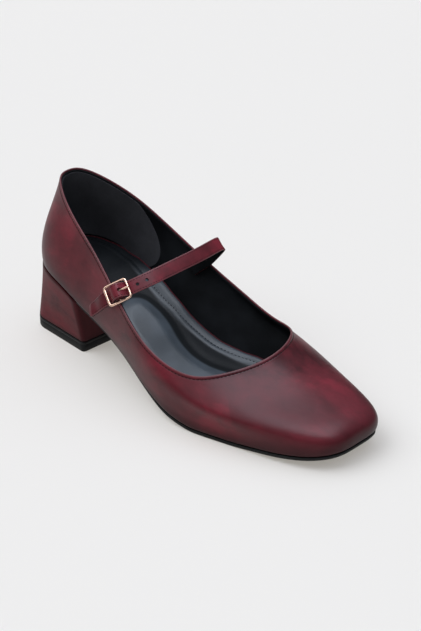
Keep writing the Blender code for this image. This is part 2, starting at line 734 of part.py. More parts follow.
def strap_line(last, buckle):
    """The strap's middle line and width directions, from its sewn end over the instep to its tail."""
    seat = WallSeat(last, STRAP_INNER_PLACE, STRAP_SEWN_LENGTH, STRAP_INNER_PITCH, inner_side=True)
    off_wall = WALL_CLEARANCE + STRAP_THICKNESS / 2
    foot = seat.edge - seat.out * off_wall
    points = [foot + seat.down * STRAP_SEWN_LENGTH * share for share in (1.0, 0.5, 0.0)]
    points.append(foot - seat.down * UPPER_WALL)
    span = buckle.seat.edge - seat.edge
    for _, share, forward, up in STRAP_COURSE:
        points.append(seat.edge + span * share + Vector((forward, 0.0, up)) * STRAP_RISE)
    half = BUCKLE_LENGTH / 2
    lift = (strap_over_bar() + strap_under_bar()) / 2
    middle = (strap_over_bar() - strap_under_bar()) / 2
    points.append(buckle.point(-half - BUCKLE_WIRE, -strap_under_bar()))
    for k in range(-8, 9):
        wave = math.cos(math.pi * abs(k / 8) ** 1.1)
        points.append(buckle.point(half * k / 8, middle + lift * wave))
    tail_way = buckle.seat.down * math.cos(STRAP_TAIL_STAND) + buckle.seat.out * math.sin(STRAP_TAIL_STAND)
    tail_start = buckle.point(half, -strap_under_bar())
    for share, bend in ((0.1, 0.0), (0.3, 0.6), (0.65, 1.0), (1.0, 1.0)):
        way = buckle.along * (1 - bend) + tail_way * bend
        points.append(tail_start + way * STRAP_TAIL_LENGTH * share)
    line = flow(points, 0.0011)
    reach = np.clip((line - np.array(seat.edge)) @ np.array(span) / span.length_squared, 0, 1)[:, None]
    across = np.array(seat.across) * (1 - reach) + np.array(buckle.across) * reach
    beyond = (line - np.array(tail_start)) @ np.array(tail_way) / STRAP_TAIL_LENGTH
    twist = (np.clip(beyond, 0, 1) * STRAP_TAIL_TWIST)[:, None]
    aside = np.array(tail_way.cross(buckle.across))
    return line, across * np.cos(twist) + aside * np.sin(twist)


def place_on_strap(line, distance_from, distance):
    """The point and direction of the strap at a distance before a point on it."""
    run = np.concatenate([[0], np.cumsum(np.linalg.norm(np.diff(line, axis=0), axis=1))])
    nearest = np.argmin(np.linalg.norm(line - np.array(distance_from), axis=1))
    mark = run[nearest] - distance
    point = Vector([np.interp(mark, run, line[:, k]) for k in range(3)])
    ahead = Vector([np.interp(mark + 0.0005, run, line[:, k]) for k in range(3)])
    return point, (ahead - point).normalized()


def cutting_rod(name, centre, way, radius, length):
    """A round cutter along a direction."""
    shell = Shell()
    rings = []
    for end in (-length / 2, length / 2):
        turns = [2 * math.pi * k / 12 for k in range(12)]
        rings.append(shell.add_points([(radius * math.cos(a), radius * math.sin(a), end) for a in turns]))
    shell.stack(rings, closed=False)
    shell.faces.append(tuple(reversed(rings[0])))
    shell.faces.append(tuple(rings[1]))
    cutter = shell.make(name, "black_sole")
    cutter.location = centre
    cutter.rotation_euler = way.to_track_quat("Z", "Y").to_euler()
    cutter.hide_render = True
    cutter.display_type = "WIRE"
    return cutter


def cut(piece, cutter):
    """Takes the cutter's shape out of the piece."""
    modifier = piece.modifiers.new(cutter.name, "BOOLEAN")
    modifier.operation = "DIFFERENCE"
    modifier.object = cutter


def make_strap(last, buckle):
    """The instep strap, with the hole that the prong passes and the spare ones before it."""
    line, across = strap_line(last, buckle)
    strap = ribbon(line, across, STRAP_WIDTH, STRAP_THICKNESS).make("strap", "burgundy_leather")
    prong_height = prong_level()
    prong_radius = PRONG_WIRE / 2 + GAP
    near = 0.0
    far = -BUCKLE_LENGTH / 2 + BUCKLE_WIRE / 2
    passage = buckle.point((near + far) / 2, prong_height)
    cutters = [cutting_rod("prong_hole_cutter", passage, buckle.along, prong_radius, near - far)]
    over_bar = buckle.point(0.0, strap_over_bar())
    for k in range(1, STRAP_SPARE_HOLES + 1):
        point, way = place_on_strap(line, over_bar, STRAP_HOLE_START + STRAP_HOLE_SPACING * k)
        through = way.cross(buckle.across).normalized()
        name = "spare_hole_cutter_%d" % k
        cutters.append(cutting_rod(name, point, through, STRAP_HOLE_RADIUS, STRAP_THICKNESS * 3))
    for cutter in cutters:
        cut(strap, cutter)
    return [strap, *cutters]


def prong_level():
    """Height of the prong's middle over the plane of the buckle where it rests on the end bar."""
    return BUCKLE_WIRE / 2 + GAP + PRONG_WIRE / 2


def wire(path, radius, closed):
    """A round wire along a line in the buckle's own axes."""
    path = np.asarray(path)
    shell = Shell()
    if closed:
        tangent = np.roll(path, -1, axis=0) - np.roll(path, 1, axis=0)
    else:
        tangent = np.gradient(path, axis=0)
    tangent /= np.linalg.norm(tangent, axis=1)[:, None]
    flat_side = np.array((0.0, 0.0, 1.0)) if closed else np.array((0.0, 1.0, 0.0))
    side = np.cross(tangent, flat_side)
    side /= np.linalg.norm(side, axis=1)[:, None]
    other = np.cross(tangent, side)
    rows = []
    for point, one, two in zip(path, side, other):
        turns = [2 * math.pi * k / WIRE_SIDES for k in range(WIRE_SIDES)]
        rows.append(shell.add_points([point + radius * (one * math.cos(a) + two * math.sin(a)) for a in turns]))
    shell.stack(rows, closed=closed)
    if not closed:
        shell.faces.append(tuple(reversed(rows[0])))
        shell.faces.append(tuple(rows[-1]))
    return shell


def make_buckle_frame(buckle):
    """The wire frame, a rectangle with full sides and round corners, and its centre bar."""
    squareness = 2 / 6
    path = []
    for k in range(44):
        angle = 2 * math.pi * (k + 0.5) / 44
        turn = Vector((math.cos(angle), math.sin(angle)))
        along = math.copysign(abs(turn.x) ** squareness, turn.x) * BUCKLE_LENGTH / 2
        across = math.copysign(abs(turn.y) ** squareness, turn.y) * BUCKLE_WIDTH / 2
        path.append((along, across, 0.0))
    loop = np.array(path)
    loop = evenly(np.vstack([loop, loop[:1]]), 45)[:-1]
    frame = wire(loop, BUCKLE_WIRE / 2, closed=True).make("buckle_frame", "rose_gold")
    ends = [(0.0, -BUCKLE_WIDTH / 2, 0.0), (0.0, BUCKLE_WIDTH / 2, 0.0)]
    bar = cutting_rod("centre_bar", (0, 0, 0), Vector((0, 1, 0)), BUCKLE_WIRE / 2 * 0.96, ends[1][1] - ends[0][1])
    modifier = frame.modifiers.new("centre_bar", "BOOLEAN")
    modifier.operation = "UNION"
    modifier.object = bar
    return [frame, bar]


def make_buckle_prong():
    """The prong: a turn round the centre bar and a straight tongue that rests on the end bar."""
    radius = BUCKLE_WIRE / 2 + SEAM_GAP + PRONG_WIRE / 2
    path = []
    for k in range(15):
        angle = math.radians(-130 + 220 * k / 14)
        path.append((radius * math.cos(angle), 0.0, radius * math.sin(angle)))
    level = prong_level()
    tip = -BUCKLE_LENGTH / 2 - BUCKLE_WIRE * 0.6
    for share in (0.3, 0.6, 0.8, 1.0):
        path.append((tip * share, 0.0, radius + (level - radius) * min(share * 1.3, 1.0)))
    return [wire(path, PRONG_WIRE / 2, closed=False).make("buckle_prong", "rose_gold")]


def make_buckle_tab(buckle):
    """The tab: sewn inside the outer topline, up round the centre bar and back down onto itself."""
    turn = BUCKLE_WIRE / 2 + SEAM_GAP + TAB_THICKNESS / 2
    first_leg = -BUCKLE_OUT - WALL_CLEARANCE - TAB_THICKNESS / 2
    second_leg = first_leg - TAB_THICKNESS - SEAM_GAP
    foot = BUCKLE_LIFT + TAB_SEWN_LENGTH
    neck = BUCKLE_LIFT - UPPER_WALL - SEAM_GAP
    half_way = (foot + BUCKLE_LIFT) / 2
    line = [(foot, first_leg), (half_way, first_leg), (BUCKLE_LIFT, first_leg), (neck, first_leg)]
    for k in range(11):
        angle = math.radians(-92 + 205 * k / 10)
        line.append((-turn * math.sin(angle), turn * math.cos(angle)))
    line.append((neck - TAB_THICKNESS - WALL_CLEARANCE, first_leg))
    line += [(neck, second_leg), (BUCKLE_LIFT, second_leg), (half_way, second_leg), (foot, second_leg)]
    down = Vector((math.cos(BUCKLE_TILT), 0.0, -math.sin(BUCKLE_TILT)))
    out = Vector((math.sin(BUCKLE_TILT), 0.0, math.cos(BUCKLE_TILT)))
    path = flow([down * far + out * aside for far, aside in line], 0.0007)
    across = np.tile((0.0, 1.0, 0.0), (len(path), 1))
    tab = ribbon(path, across, TAB_WIDTH, TAB_THICKNESS).make("buckle_tab", "burgundy_leather")
    slot = cutting_box("prong_slot_cutter", turn * 2.2, PRONG_WIRE + 2 * GAP)
    cut(tab, slot)
    return [tab, slot]


def cutting_box(name, reach, width):
    """A box cutter round the centre bar."""
    shell = Shell()
    low = shell.add_points([(x, y, -reach) for x, y in ((-1, -1), (1, -1), (1, 1), (-1, 1))])
    high = shell.add_points([(x, y, reach) for x, y in ((-1, -1), (1, -1), (1, 1), (-1, 1))])
    shell.points = [(x * reach, y * width / 2, z) for x, y, z in shell.points]
    shell.bridge(low, high)
    shell.faces.append(tuple(reversed(low)))
    shell.faces.append(tuple(high))
    cutter = shell.make(name, "black_sole")
    cutter.hide_render = True
    cutter.display_type = "WIRE"
    return cutter


def clear_scene():
    """Removes what the scene holds."""
    for thing in list(bpy.data.objects):
        bpy.data.objects.remove(thing, do_unlink=True)


def empty(name, matrix=None):
    """An empty that carries pieces."""
    carrier = bpy.data.objects.new(name, None)
    bpy.context.scene.collection.objects.link(carrier)
    if matrix is not None:
        carrier.matrix_world = matrix
    return carrier


def stand_on_origin(shoe, pieces):
    """Moves the shoe so that the origin lies on the floor under the middle of its box."""
    bpy.context.view_layer.update()
    corners = []
    for piece in pieces:
        if not piece.hide_render:
            corners += [piece.matrix_world @ vertex.co for vertex in piece.data.vertices]
    corners = np.array([tuple(corner) for corner in corners])
    middle = (corners.min(axis=0) + corners.max(axis=0)) / 2
    shoe.location = (-middle[0], -middle[1], 0.0)


def build():
    """Makes every piece and stands the shoe on the floor."""
    clear_scene()
    last = Last()
    buckle = Buckle(last)
    shoe = empty("shoe")
    buckle_seat = empty("buckle_seat", buckle.matrix)
    buckle_seat.parent = shoe
    on_shoe = [
        make_upper(last),
        make_insole(last),
        make_outsole(last),
        make_heel(last),
        make_heel_lift(),
        *make_strap(last, buckle),
    ]
    on_buckle = [*make_buckle_frame(buckle), *make_buckle_prong(), *make_buckle_tab(buckle)]
    for piece in on_shoe:
        piece.parent = shoe
    for piece in on_buckle:
        piece.parent = buckle_seat
    stand_on_origin(shoe, on_shoe + on_buckle)


build()
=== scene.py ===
"""Looks of the right mary jane pump: leather, lining, padded sock, stitches, strap, buckle, heel and sole.

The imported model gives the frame. Sizes and tables of the last are those of the part's own source, in the
shoe's own axes: x runs from the back of the seat to the toe, y towards the inner side, z up from the floor.
"""

import json
import math

import bpy
import numpy as np
from mathutils import Matrix, Vector

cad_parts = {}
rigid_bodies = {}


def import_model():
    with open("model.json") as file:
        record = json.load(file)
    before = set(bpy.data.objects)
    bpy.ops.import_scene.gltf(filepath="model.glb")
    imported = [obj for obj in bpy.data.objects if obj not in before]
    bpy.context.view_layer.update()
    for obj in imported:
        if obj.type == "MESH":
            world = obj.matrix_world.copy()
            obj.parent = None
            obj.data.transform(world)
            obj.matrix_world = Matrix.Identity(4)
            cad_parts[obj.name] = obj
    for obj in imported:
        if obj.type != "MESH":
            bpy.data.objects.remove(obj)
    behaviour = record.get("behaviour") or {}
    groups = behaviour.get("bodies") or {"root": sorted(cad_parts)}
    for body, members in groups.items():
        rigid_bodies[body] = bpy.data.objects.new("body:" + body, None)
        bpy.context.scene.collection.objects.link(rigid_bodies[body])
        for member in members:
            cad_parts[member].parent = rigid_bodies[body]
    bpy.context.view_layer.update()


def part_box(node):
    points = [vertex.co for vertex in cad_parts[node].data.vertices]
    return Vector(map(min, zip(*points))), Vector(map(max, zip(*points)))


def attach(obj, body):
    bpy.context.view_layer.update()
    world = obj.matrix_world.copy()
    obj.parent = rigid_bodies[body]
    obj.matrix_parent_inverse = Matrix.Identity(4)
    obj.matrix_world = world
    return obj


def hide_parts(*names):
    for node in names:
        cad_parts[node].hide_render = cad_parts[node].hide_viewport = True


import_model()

bl_info = {
    "name": "Mary jane pump looks",
    "version": (1, 0, 0),
    "blender": (4, 5, 0),
    "location": "View3D > Sidebar > Shoe",
    "description": "Dresses the pump's frame in leather, lining, sock, stitches, strap, buckle and sole",
    "category": "Object",
}

# Last and upper, as the solids have them, in metres
LENGTH = 0.242
BALL_WIDTH = 0.078
HEEL_RISE = 0.049
TOE_SPRING = 0.0085
BACK_HEIGHT = 0.0543
INSTEP_HEIGHT = 0.037
UPPER_WALL = 0.0018
LEATHER_WALL = 0.0009
LINING_DROP = 0.0003
LASTING_MARGIN = 0.009
FEATHER_ROUND = 0.0018
OUTSOLE_THICKNESS = 0.0022
OUTSOLE_INSET = 0.0012
INSOLE_THICKNESS = 0.0026
INSOLE_PAD_RISE = 0.0018
INSOLE_ARCH_RISE = 0.0064
INSOLE_ARCH_TILT = 0.3
HEEL_BREAST = 0.0505
HEEL_TOP_PROUD = 0.0005
HEEL_FOOT_BACK = -0.0065
HEEL_FOOT_SETBACK = 0.003
HEEL_FOOT_WIDTH = 0.0455
HEEL_FOOT_BACK_WIDTH = 0.0365
HEEL_FOOT_CORNER = 0.0125
HEEL_FRONT_CORNER = 0.003
HEEL_WAIST = 0.0002
LIFT_THICKNESS = 0.0067

# Strap and buckle, as the solids have them
STRAP_WIDTH = 0.0086
STRAP_THICKNESS = 0.0016
STRAP_INNER_PLACE = 0.096
STRAP_OUTER_PLACE = 0.0925
STRAP_RISE = 0.0142
STRAP_SEWN_LENGTH = 0.009
STRAP_INNER_PITCH = math.radians(48)
STRAP_OUTER_PITCH = math.radians(42)
STRAP_TAIL_LENGTH = 0.0165
STRAP_TAIL_STAND = math.radians(17)
STRAP_TAIL_TWIST = math.radians(22)
STRAP_HOLE_RADIUS = 0.00105
STRAP_HOLE_START = 0.0027
STRAP_HOLE_SPACING = 0.0059
STRAP_SPARE_HOLES = 3
TAB_THICKNESS = 0.0011
TAB_WIDTH = 0.0082
TAB_SEWN_LENGTH = 0.009
BUCKLE_LENGTH = 0.0134
BUCKLE_WIDTH = 0.0116
BUCKLE_WIRE = 0.0015
BUCKLE_LIFT = 0.0038
BUCKLE_OUT = 0.0019
BUCKLE_TILT = math.radians(45)
PRONG_WIRE = 0.0012
GAP = 0.0003
SEAM_GAP = 0.0003
WALL_CLEARANCE = 0.0006

# Details that only the dressed shoe has
TOPLINE_SEAM = 0.0016
SEAM_SINK = 0.00018
FOLD_BEAD = 0.00012
TURNED_EDGE = 0.0016
GRIP_REACH = 0.150
GRIP_BOTTOM = 0.0058
GRIP_TOP = 0.0016
GRIP_THICKNESS = 0.00045
OUTER_BAND_SEAM = 0.0048
SOCK_EDGE_ROUND = 0.0018
BACKING_THICKNESS = 0.00048
STRAP_SEAM_INSET = 0.00105

# How finely the dressed surfaces are divided
ROUND_STEPS = 448
WALL_STEPS = 34
SOCK_STEPS = 48
WIRE_SIDES = 14

SECTIONS = (
    # name, foot along, foot across, top along, top across, rise, foot lean, foot reach, top lean, top reach
    ("heel_back", 0.000, 0.010, 0.043, 0.014, 1.020, 7, 0.36, 16, 0.33),
    ("heel_outer", 0.025, -0.214, 0.061, -0.114, 1.010, 10, 0.37, 14, 0.35),
    ("seat_outer", 0.108, -0.367, 0.143, -0.259, 0.925, 12, 0.34, 11, 0.31),
    ("arch_outer", 0.247, -0.400, 0.276, -0.374, 0.896, 15, 0.34, 8, 0.29),
    ("waist_outer", 0.396, -0.453, 0.408, -0.485, 0.747, 18, 0.37, 5, 0.31),
    ("joint_outer", 0.596, -0.551, 0.538, -0.555, 0.728, 10, 0.38, 25, 0.33),
    ("tread_outer", 0.773, -0.450, 0.638, -0.495, 0.786, 5, 0.41, 46, 0.52),
    ("toe_side_outer", 0.917, -0.340, 0.695, -0.318, 0.867, 5, 0.31, 58, 0.54),
    ("toe_corner_outer", 0.981, -0.187, 0.722, -0.124, 0.930, 9, 0.29, 61, 0.62),
    ("toe_tip", 0.993, 0.050, 0.733, 0.083, 1.000, 14, 0.30, 62, 0.66),
    ("toe_corner_inner", 0.982, 0.279, 0.719, 0.276, 1.014, 17, 0.26, 55, 0.59),
    ("toe_side_inner", 0.900, 0.384, 0.679, 0.454, 0.949, 10, 0.25, 50, 0.50),
    ("tread_inner", 0.779, 0.445, 0.606, 0.527, 0.832, 11, 0.30, 41, 0.41),
    ("joint_inner", 0.648, 0.440, 0.517, 0.519, 0.793, 13, 0.26, 24, 0.24),
    ("waist_inner", 0.427, 0.238, 0.391, 0.449, 0.823, 15, 0.27, 8, 0.24),
    ("arch_inner", 0.264, 0.277, 0.264, 0.372, 0.944, 12, 0.30, 8, 0.26),
    ("seat_inner", 0.114, 0.337, 0.137, 0.286, 0.954, 11, 0.32, 12, 0.28),
    ("heel_inner", 0.026, 0.231, 0.056, 0.141, 1.017, 8, 0.35, 15, 0.32),
)

BOTTOM_LINE = (
    # name, along as a share of LENGTH, share of HEEL_RISE, share of TOE_SPRING
    ("seat_back", 0.00, 1.000, 0.00),
    ("seat_front", 0.13, 0.905, 0.00),
    ("arch_back", 0.25, 0.685, 0.00),
    ("arch_front", 0.38, 0.470, 0.00),
    ("waist", 0.50, 0.225, 0.00),
    ("joint", 0.60, 0.050, 0.00),
    ("tread_back", 0.665, 0.000, 0.00),
    ("tread_front", 0.745, 0.000, 0.00),
    ("toe_back", 0.83, 0.000, 0.20),
    ("toe_middle", 0.92, 0.000, 0.53),
    ("toe_tip", 1.00, 0.000, 1.00),
)

OUTSOLE_EDGE = (
    # name, along as a share of LENGTH, share of OUTSOLE_INSET
    ("breast", 0.15, 1.0),
    ("waist", 0.45, 0.8),
    ("joint", 0.58, 0.1),
    ("toe", 1.00, 0.1),
)

INSOLE_ARCH = (
    # name, along as a share of LENGTH, share of INSOLE_ARCH_RISE
    ("seat", 0.09, 0.00),
    ("seat_front", 0.165, 0.33),
    ("arch_back", 0.215, 0.86),
    ("arch_top", 0.255, 1.00),
    ("arch_middle", 0.31, 0.84),
    ("arch_front", 0.35, 0.55),
    ("waist", 0.43, 0.22),
    ("joint", 0.50, 0.00),
)

STRAP_COURSE = (
    # name, share of the way across, forward and up as shares of STRAP_RISE
    ("corner_low", -0.084, 0.46, 0.72),
    ("corner", -0.081, 0.53, 0.84),
    ("corner_over", -0.056, 0.56, 0.89),
    ("inner_span", 0.238, 0.80, 0.90),
    ("middle", 0.584, 0.78, 0.74),
    ("outer_span", 0.800, 0.69, 0.59),
)

# Soft creases and swells of the leather. Each is centred on a share of the way round and up the wall.
CREASES = (
    # name, round, up, turn in degrees from level, half length and half width in metres, depth in metres
    ("throat_outer_dent", 0.395, 0.74, 40, 0.0160, 0.0070, 0.00022),
    ("throat_inner_dent", 0.610, 0.80, 130, 0.0120, 0.0060, 0.00018),
    ("vamp_flex_outer", 0.375, 0.45, 35, 0.0220, 0.0060, 0.00024),
    ("vamp_flex_inner", 0.640, 0.52, 150, 0.0180, 0.0055, 0.00022),
    ("waist_outer_slack", 0.275, 0.40, 8, 0.0300, 0.0080, 0.00032),
    ("waist_inner_slack", 0.745, 0.42, 172, 0.0260, 0.0080, 0.00032),
    ("counter_edge_outer", 0.165, 0.45, 80, 0.0200, 0.0050, 0.00018),
    ("counter_edge_inner", 0.855, 0.45, 100, 0.0200, 0.0050, 0.00018),
    ("toe_box_edge", 0.500, 0.55, 2, 0.0240, 0.0060, 0.00012),
)

# Seam and edge of the sock's band on the inner side. The edge climbs the lining a little over the solid's.
SOCK_BAND = (
    # name, along as a share of LENGTH, distance of the seam from the edge, rise of the edge, in metres
    ("seat", 0.10, 0.0050, 0.0000),
    ("seat_front", 0.17, 0.0055, 0.0000),
    ("arch_back", 0.25, 0.0066, 0.0008),
    ("arch_top", 0.305, 0.0072, 0.0024),
    ("arch_middle", 0.37, 0.0062, 0.0028),
    ("arch_front", 0.415, 0.0056, 0.0018),
    ("waist", 0.50, 0.0056, 0.0012),
    ("joint_back", 0.56, 0.0048, 0.0024),
    ("joint", 0.60, 0.0042, 0.0037),
    ("tread", 0.66, 0.0042, 0.0034),
    ("toe_back", 0.76, 0.0042, 0.0008),
    ("toe", 1.00, 0.0042, 0.0000),
)

# Border of the raised pad under the arch and the ball of the foot, once round.
PAD_BORDER = (
    # name, along as a share of LENGTH, across as a share of BALL_WIDTH
    ("back", 0.299, -0.077),
    ("back_outer", 0.308, -0.190),
    ("arch_outer", 0.345, -0.300),
    ("waist_outer", 0.446, -0.375),
    ("joint_outer", 0.574, -0.445),
    ("tread_outer", 0.690, -0.410),
    ("toe_side_outer", 0.800, -0.300),
    ("toe_outer", 0.890, -0.190),
    ("toe", 0.925, 0.020),
    ("toe_inner", 0.885, 0.190),
    ("toe_side_inner", 0.790, 0.255),
    ("tread_inner", 0.690, 0.255),
    ("ball_inner", 0.622, 0.205),
    ("joint_inner", 0.574, 0.095),
    ("joint_back", 0.525, 0.003),
    ("waist_inner", 0.484, -0.018),
    ("waist_back", 0.446, -0.006),
    ("arch_front", 0.410, 0.027),
    ("arch_inner", 0.375, 0.047),
    ("arch_back", 0.335, 0.040),
    ("back_inner", 0.311, 0.005),
)

# One plump stitch, ring by ring.
STITCH_RINGS = (
    # place as a share of its half length, size and dip as shares of the thread's radius
    (-1.0, 0.25, -0.8),
    (-0.8, 0.80, -0.25),
    (0.0, 1.00, 0.0),
    (0.8, 0.80, -0.25),
    (1.0, 0.25, -0.8),
)

# Tones of the leather: above 0 redder, below 0 darker. The toe shades and the outer vamp shade are painted
# shade where those faces turn away from the light overhead; the other spots make the leather redder or
# darker in patches.
TONES = (
    # name, round, up, turn in degrees from level, half length and half width in metres, strength
    ("quarter_glow", 0.165, 0.60, 70, 0.0200, 0.0110, 0.40),
    ("quarter_back_shade", 0.060, 0.55, 85, 0.0200, 0.0090, -0.35),
    ("waist_shade", 0.255, 0.30, 10, 0.0300, 0.0080, -0.30),
    ("vamp_outer_glow", 0.375, 0.16, 12, 0.0300, 0.0090, 0.30),
    # Painted shade along the lower outer vamp, which turns away from the overhead light.
    ("vamp_outer_shade", 0.370, 0.40, 18, 0.0340, 0.0110, -0.42),
    ("vamp_smudge", 0.560, 0.80, 150, 0.0180, 0.0060, -0.45),
    ("vamp_inner_glow", 0.580, 0.60, 160, 0.0220, 0.0130, 0.36),
    # Painted shade at the front of the toe and on its inner side, which turn away from the light.
    ("toe_shade", 0.500, 0.12, 0, 0.0400, 0.0060, -0.60),
    ("toe_inner_shade", 0.560, 0.25, 0, 0.0200, 0.0080, -0.50),
)

# Suns, and whether each lights the shoe too or the floor alone.
SUNS = (
    # name, strength, way, width in degrees, shoe too
    ("key", 0.74, (0.40, 0.50, -0.77), 50, True),
    ("floor_key", 0.42, (0.42, 0.16, -0.89), 70, False),
)

# Soft boxes that shine on the shoe alone.
SOFT_BOXES = (
    # name, place, target, size in metres, share of the overhead power, colour
    ("overhead", (0.10, 0.10, 0.95), (0.02, 0.0, 0.03), (0.9, 0.6), 1.0, (0.93, 0.98, 1.08)),
    ("behind", (-0.75, 0.55, 0.65), (-0.02, 0.0, 0.05), (0.7, 0.5), 0.25, (1.0, 1.0, 1.0)),
    ("front", (0.35, -0.85, 0.50), (0.0, 0.0, 0.03), (0.8, 0.5), 0.42, (1.0, 1.0, 1.0)),
)

# The camera, in the shoe's own axes
CAMERA_PLACE = (0.5383, -0.4388, 0.3555)
CAMERA_FORWARD = (-0.6035, 0.6538, -0.4564)
CAMERA_SIDE = (0.7283, 0.6850, 0.0183)


def colour_setting(name, description, default, subtype="COLOR", highest=1.0):
    """A setting that holds a colour or a coloured light."""
    return bpy.props.FloatVectorProperty(
        name=name, description=description, subtype=subtype, size=3, min=0, max=highest, default=default
    )


def length_setting(name, description, default, lowest, highest):
    """A setting that holds a length in metres."""
    return bpy.props.FloatProperty(
        name=name, description=description, unit="LENGTH", min=lowest, max=highest, default=default
    )


class LeatherSettings(bpy.types.PropertyGroup):
    """Colours and surface of the burgundy leather."""

    deep: colour_setting("Deep colour", "Darkest tone of the antiqued leather", (0.034, 0.0052, 0.0075))
    middle: colour_setting("Middle colour", "Main tone of the leather", (0.074, 0.0098, 0.0145))
    bright: colour_setting("Bright colour", "Redder tone of the cloudy patches", (0.138, 0.0130, 0.0225))
    # The edge colour is a painted highlight on edges that catch the light, not a colour of the leather
    # itself.
    edge: colour_setting("Edge colour", "Leather folded and pulled thin", (0.105, 0.040, 0.044))
    cloud_size: length_setting("Cloud size", "Width of a cloudy patch of the finish", 0.034, 0.005, 0.1)
    grain_size: length_setting("Grain size", "Width of a pebble of the grain", 0.00062, 0.0002, 0.003)
    roughness: bpy.props.FloatProperty(
        name="Roughness", description="How dull the finish is", subtype="FACTOR", min=0.05, max=1,
        default=0.37,
    )


class LiningSettings(bpy.types.PropertyGroup):
    """Colours of the inside of the shoe."""

    lining: colour_setting("Lining", "Colour of the lining", (0.0030, 0.0034, 0.0040))
    sock: colour_setting("Sock", "Colour of the padded sock", (0.0330, 0.0415, 0.0510))
    grip: colour_setting("Heel grip", "Colour of the suede patch at the back", (0.0210, 0.0215, 0.0250))
    binding: colour_setting("Binding", "Colour of the sock's bound edge", (0.036, 0.006, 0.009))
    binding_radius: length_setting("Binding radius", "Radius of the sock's bead", 0.0004, 0.0002, 0.001)


class StitchSettings(bpy.types.PropertyGroup):
    """Sizes and colours of the stitches."""

    pitch: length_setting("Pitch", "Distance from stitch to stitch", 0.0022, 0.001, 0.006)
    thread: length_setting("Thread", "Thickness of the thread", 0.00055, 0.0001, 0.001)
    dark: colour_setting("Dark thread", "Colour of the thread on the leather", (0.0040, 0.0014, 0.0018))
    grey: colour_setting("Grey thread", "Colour of the thread on the sock", (0.0020, 0.0026, 0.0034))


class HardwareSettings(bpy.types.PropertyGroup):
    """Colours of the buckle, sole and top lift."""

    gold: colour_setting("Rose gold", "Colour of the buckle", (0.83, 0.56, 0.43))
    sole: colour_setting("Sole", "Colour of the outsole and top lift", (0.0060, 0.0066, 0.0070))
    tread_pitch: length_setting("Tread pitch", "Distance between the sole's ribs", 0.0024, 0.001, 0.006)


class StageSettings(bpy.types.PropertyGroup):
    """Floor, light and camera."""

    floor: colour_setting("Floor", "Colour of the floor", (0.86, 0.86, 0.86))
    horizon: colour_setting("Horizon", "Light that comes in level", (0.07, 0.07, 0.07), "NONE", 5)
    zenith: colour_setting("Zenith", "Light from straight above", (0.475, 0.505, 0.56), "NONE", 5)
    floor_fill: colour_setting(
        "Floor fill", "Warm light that keeps the floor's shadows pale", (1.10, 1.03, 0.93), "NONE", 5
    )
    overhead: bpy.props.FloatProperty(
        name="Overhead", description="Power of the soft light overhead", subtype="POWER", min=0, max=100,
        default=9.6,
    )
    lens: bpy.props.FloatProperty(
        name="Lens", description="Focal length of the camera", subtype="DISTANCE_CAMERA", min=20, max=200,
        default=67.0,
    )


# Shape of the last


def column(table, index):
    """One column of a table whose first column holds names."""
    return np.array([row[index] for row in table], float)


def steady(x, knots, values):
    """A smooth curve through the knots that never overshoots between them."""
    step = np.diff(knots)
    rate = np.diff(values) / step
    slope = np.empty(len(knots))
    slope[0] = rate[0]
    slope[-1] = rate[-1]
    for k in range(1, len(knots) - 1):
        same_way = rate[k - 1] * rate[k] > 0
        slope[k] = 2 * rate[k - 1] * rate[k] / (rate[k - 1] + rate[k]) if same_way else 0.0
    x = np.clip(x, knots[0], knots[-1])
    k = np.clip(np.searchsorted(knots, x, side="right") - 1, 0, len(step) - 1)
    u = (x - knots[k]) / step[k]
    start = values[k] * (1 + 2 * u) * (1 - u) ** 2 + slope[k] * step[k] * u * (1 - u) ** 2
    end = values[k + 1] * u**2 * (3 - 2 * u) - slope[k + 1] * step[k] * u**2 * (1 - u)
    return start + end


def ease(value, low, high):
    """A smooth rise from 0 at low to 1 at high."""
    u = np.clip((value - low) / (high - low), 0, 1)
    return u * u * (3 - 2 * u)


def hump(value, place, width):
    """A soft hump of height 1 at a place."""
    return np.exp(-(((value - place) / width) ** 2))


def unit(vectors):
    """Vectors brought to length 1."""
    return vectors / np.linalg.norm(vectors, axis=-1, keepdims=True)


class ClosedCurve:
    """A closed cubic curve through rows of values. Its parameter runs from 0 to 1, once round."""

    def __init__(self, knots, rows):
        count = len(rows)
        self.knots = np.append(knots, 1.0)
        self.step = np.diff(self.knots)
        self.rows = np.vstack([rows, rows[:1]])
        system = np.zeros((count, count))
        right = np.zeros(rows.shape)
        for k in range(count):
            before = self.step[k - 1]
            after = self.step[k]
            system[k, k - 1] += 1 / before
            system[k, k] += 2 / before + 2 / after
            system[k, (k + 1) % count] += 1 / after
            back = (rows[k] - rows[k - 1]) / before**2
            ahead = (rows[(k + 1) % count] - rows[k]) / after**2
            right[k] = 3 * (back + ahead)
        slopes = np.linalg.solve(system, right)
        self.slopes = np.vstack([slopes, slopes[:1]])

    def at(self, t):
        """Values and their rate of change at each t."""
        t = np.asarray(t) % 1.0
        k = np.clip(np.searchsorted(self.knots, t, side="right") - 1, 0, len(self.step) - 1)
        h = self.step[k][:, None]
        u = (t - self.knots[k])[:, None] / h
        first = self.rows[k]
        last = self.rows[k + 1]
        start = self.slopes[k] * h
        end = self.slopes[k + 1] * h
        rise = last - first
        value = first + u * start + u**2 * (3 * rise - 2 * start - end) + u**3 * (start + end - 2 * rise)
        rate = start + 2 * u * (3 * rise - 2 * start - end) + 3 * u**2 * (start + end - 2 * rise)
        return value, rate / h


def bottom_height(x):
    """Height of the feather line over the floor at a place along the shoe."""
    along = column(BOTTOM_LINE, 1) * LENGTH
    heights = column(BOTTOM_LINE, 2) * HEEL_RISE + column(BOTTOM_LINE, 3) * TOE_SPRING
    return OUTSOLE_THICKNESS + GAP + steady(x, along, heights)


def outward(rate):
    """Unit vectors across a curve that runs anticlockwise, seen from above, pointing out of it."""
    return unit(np.column_stack([rate[:, 1], -rate[:, 0]]))


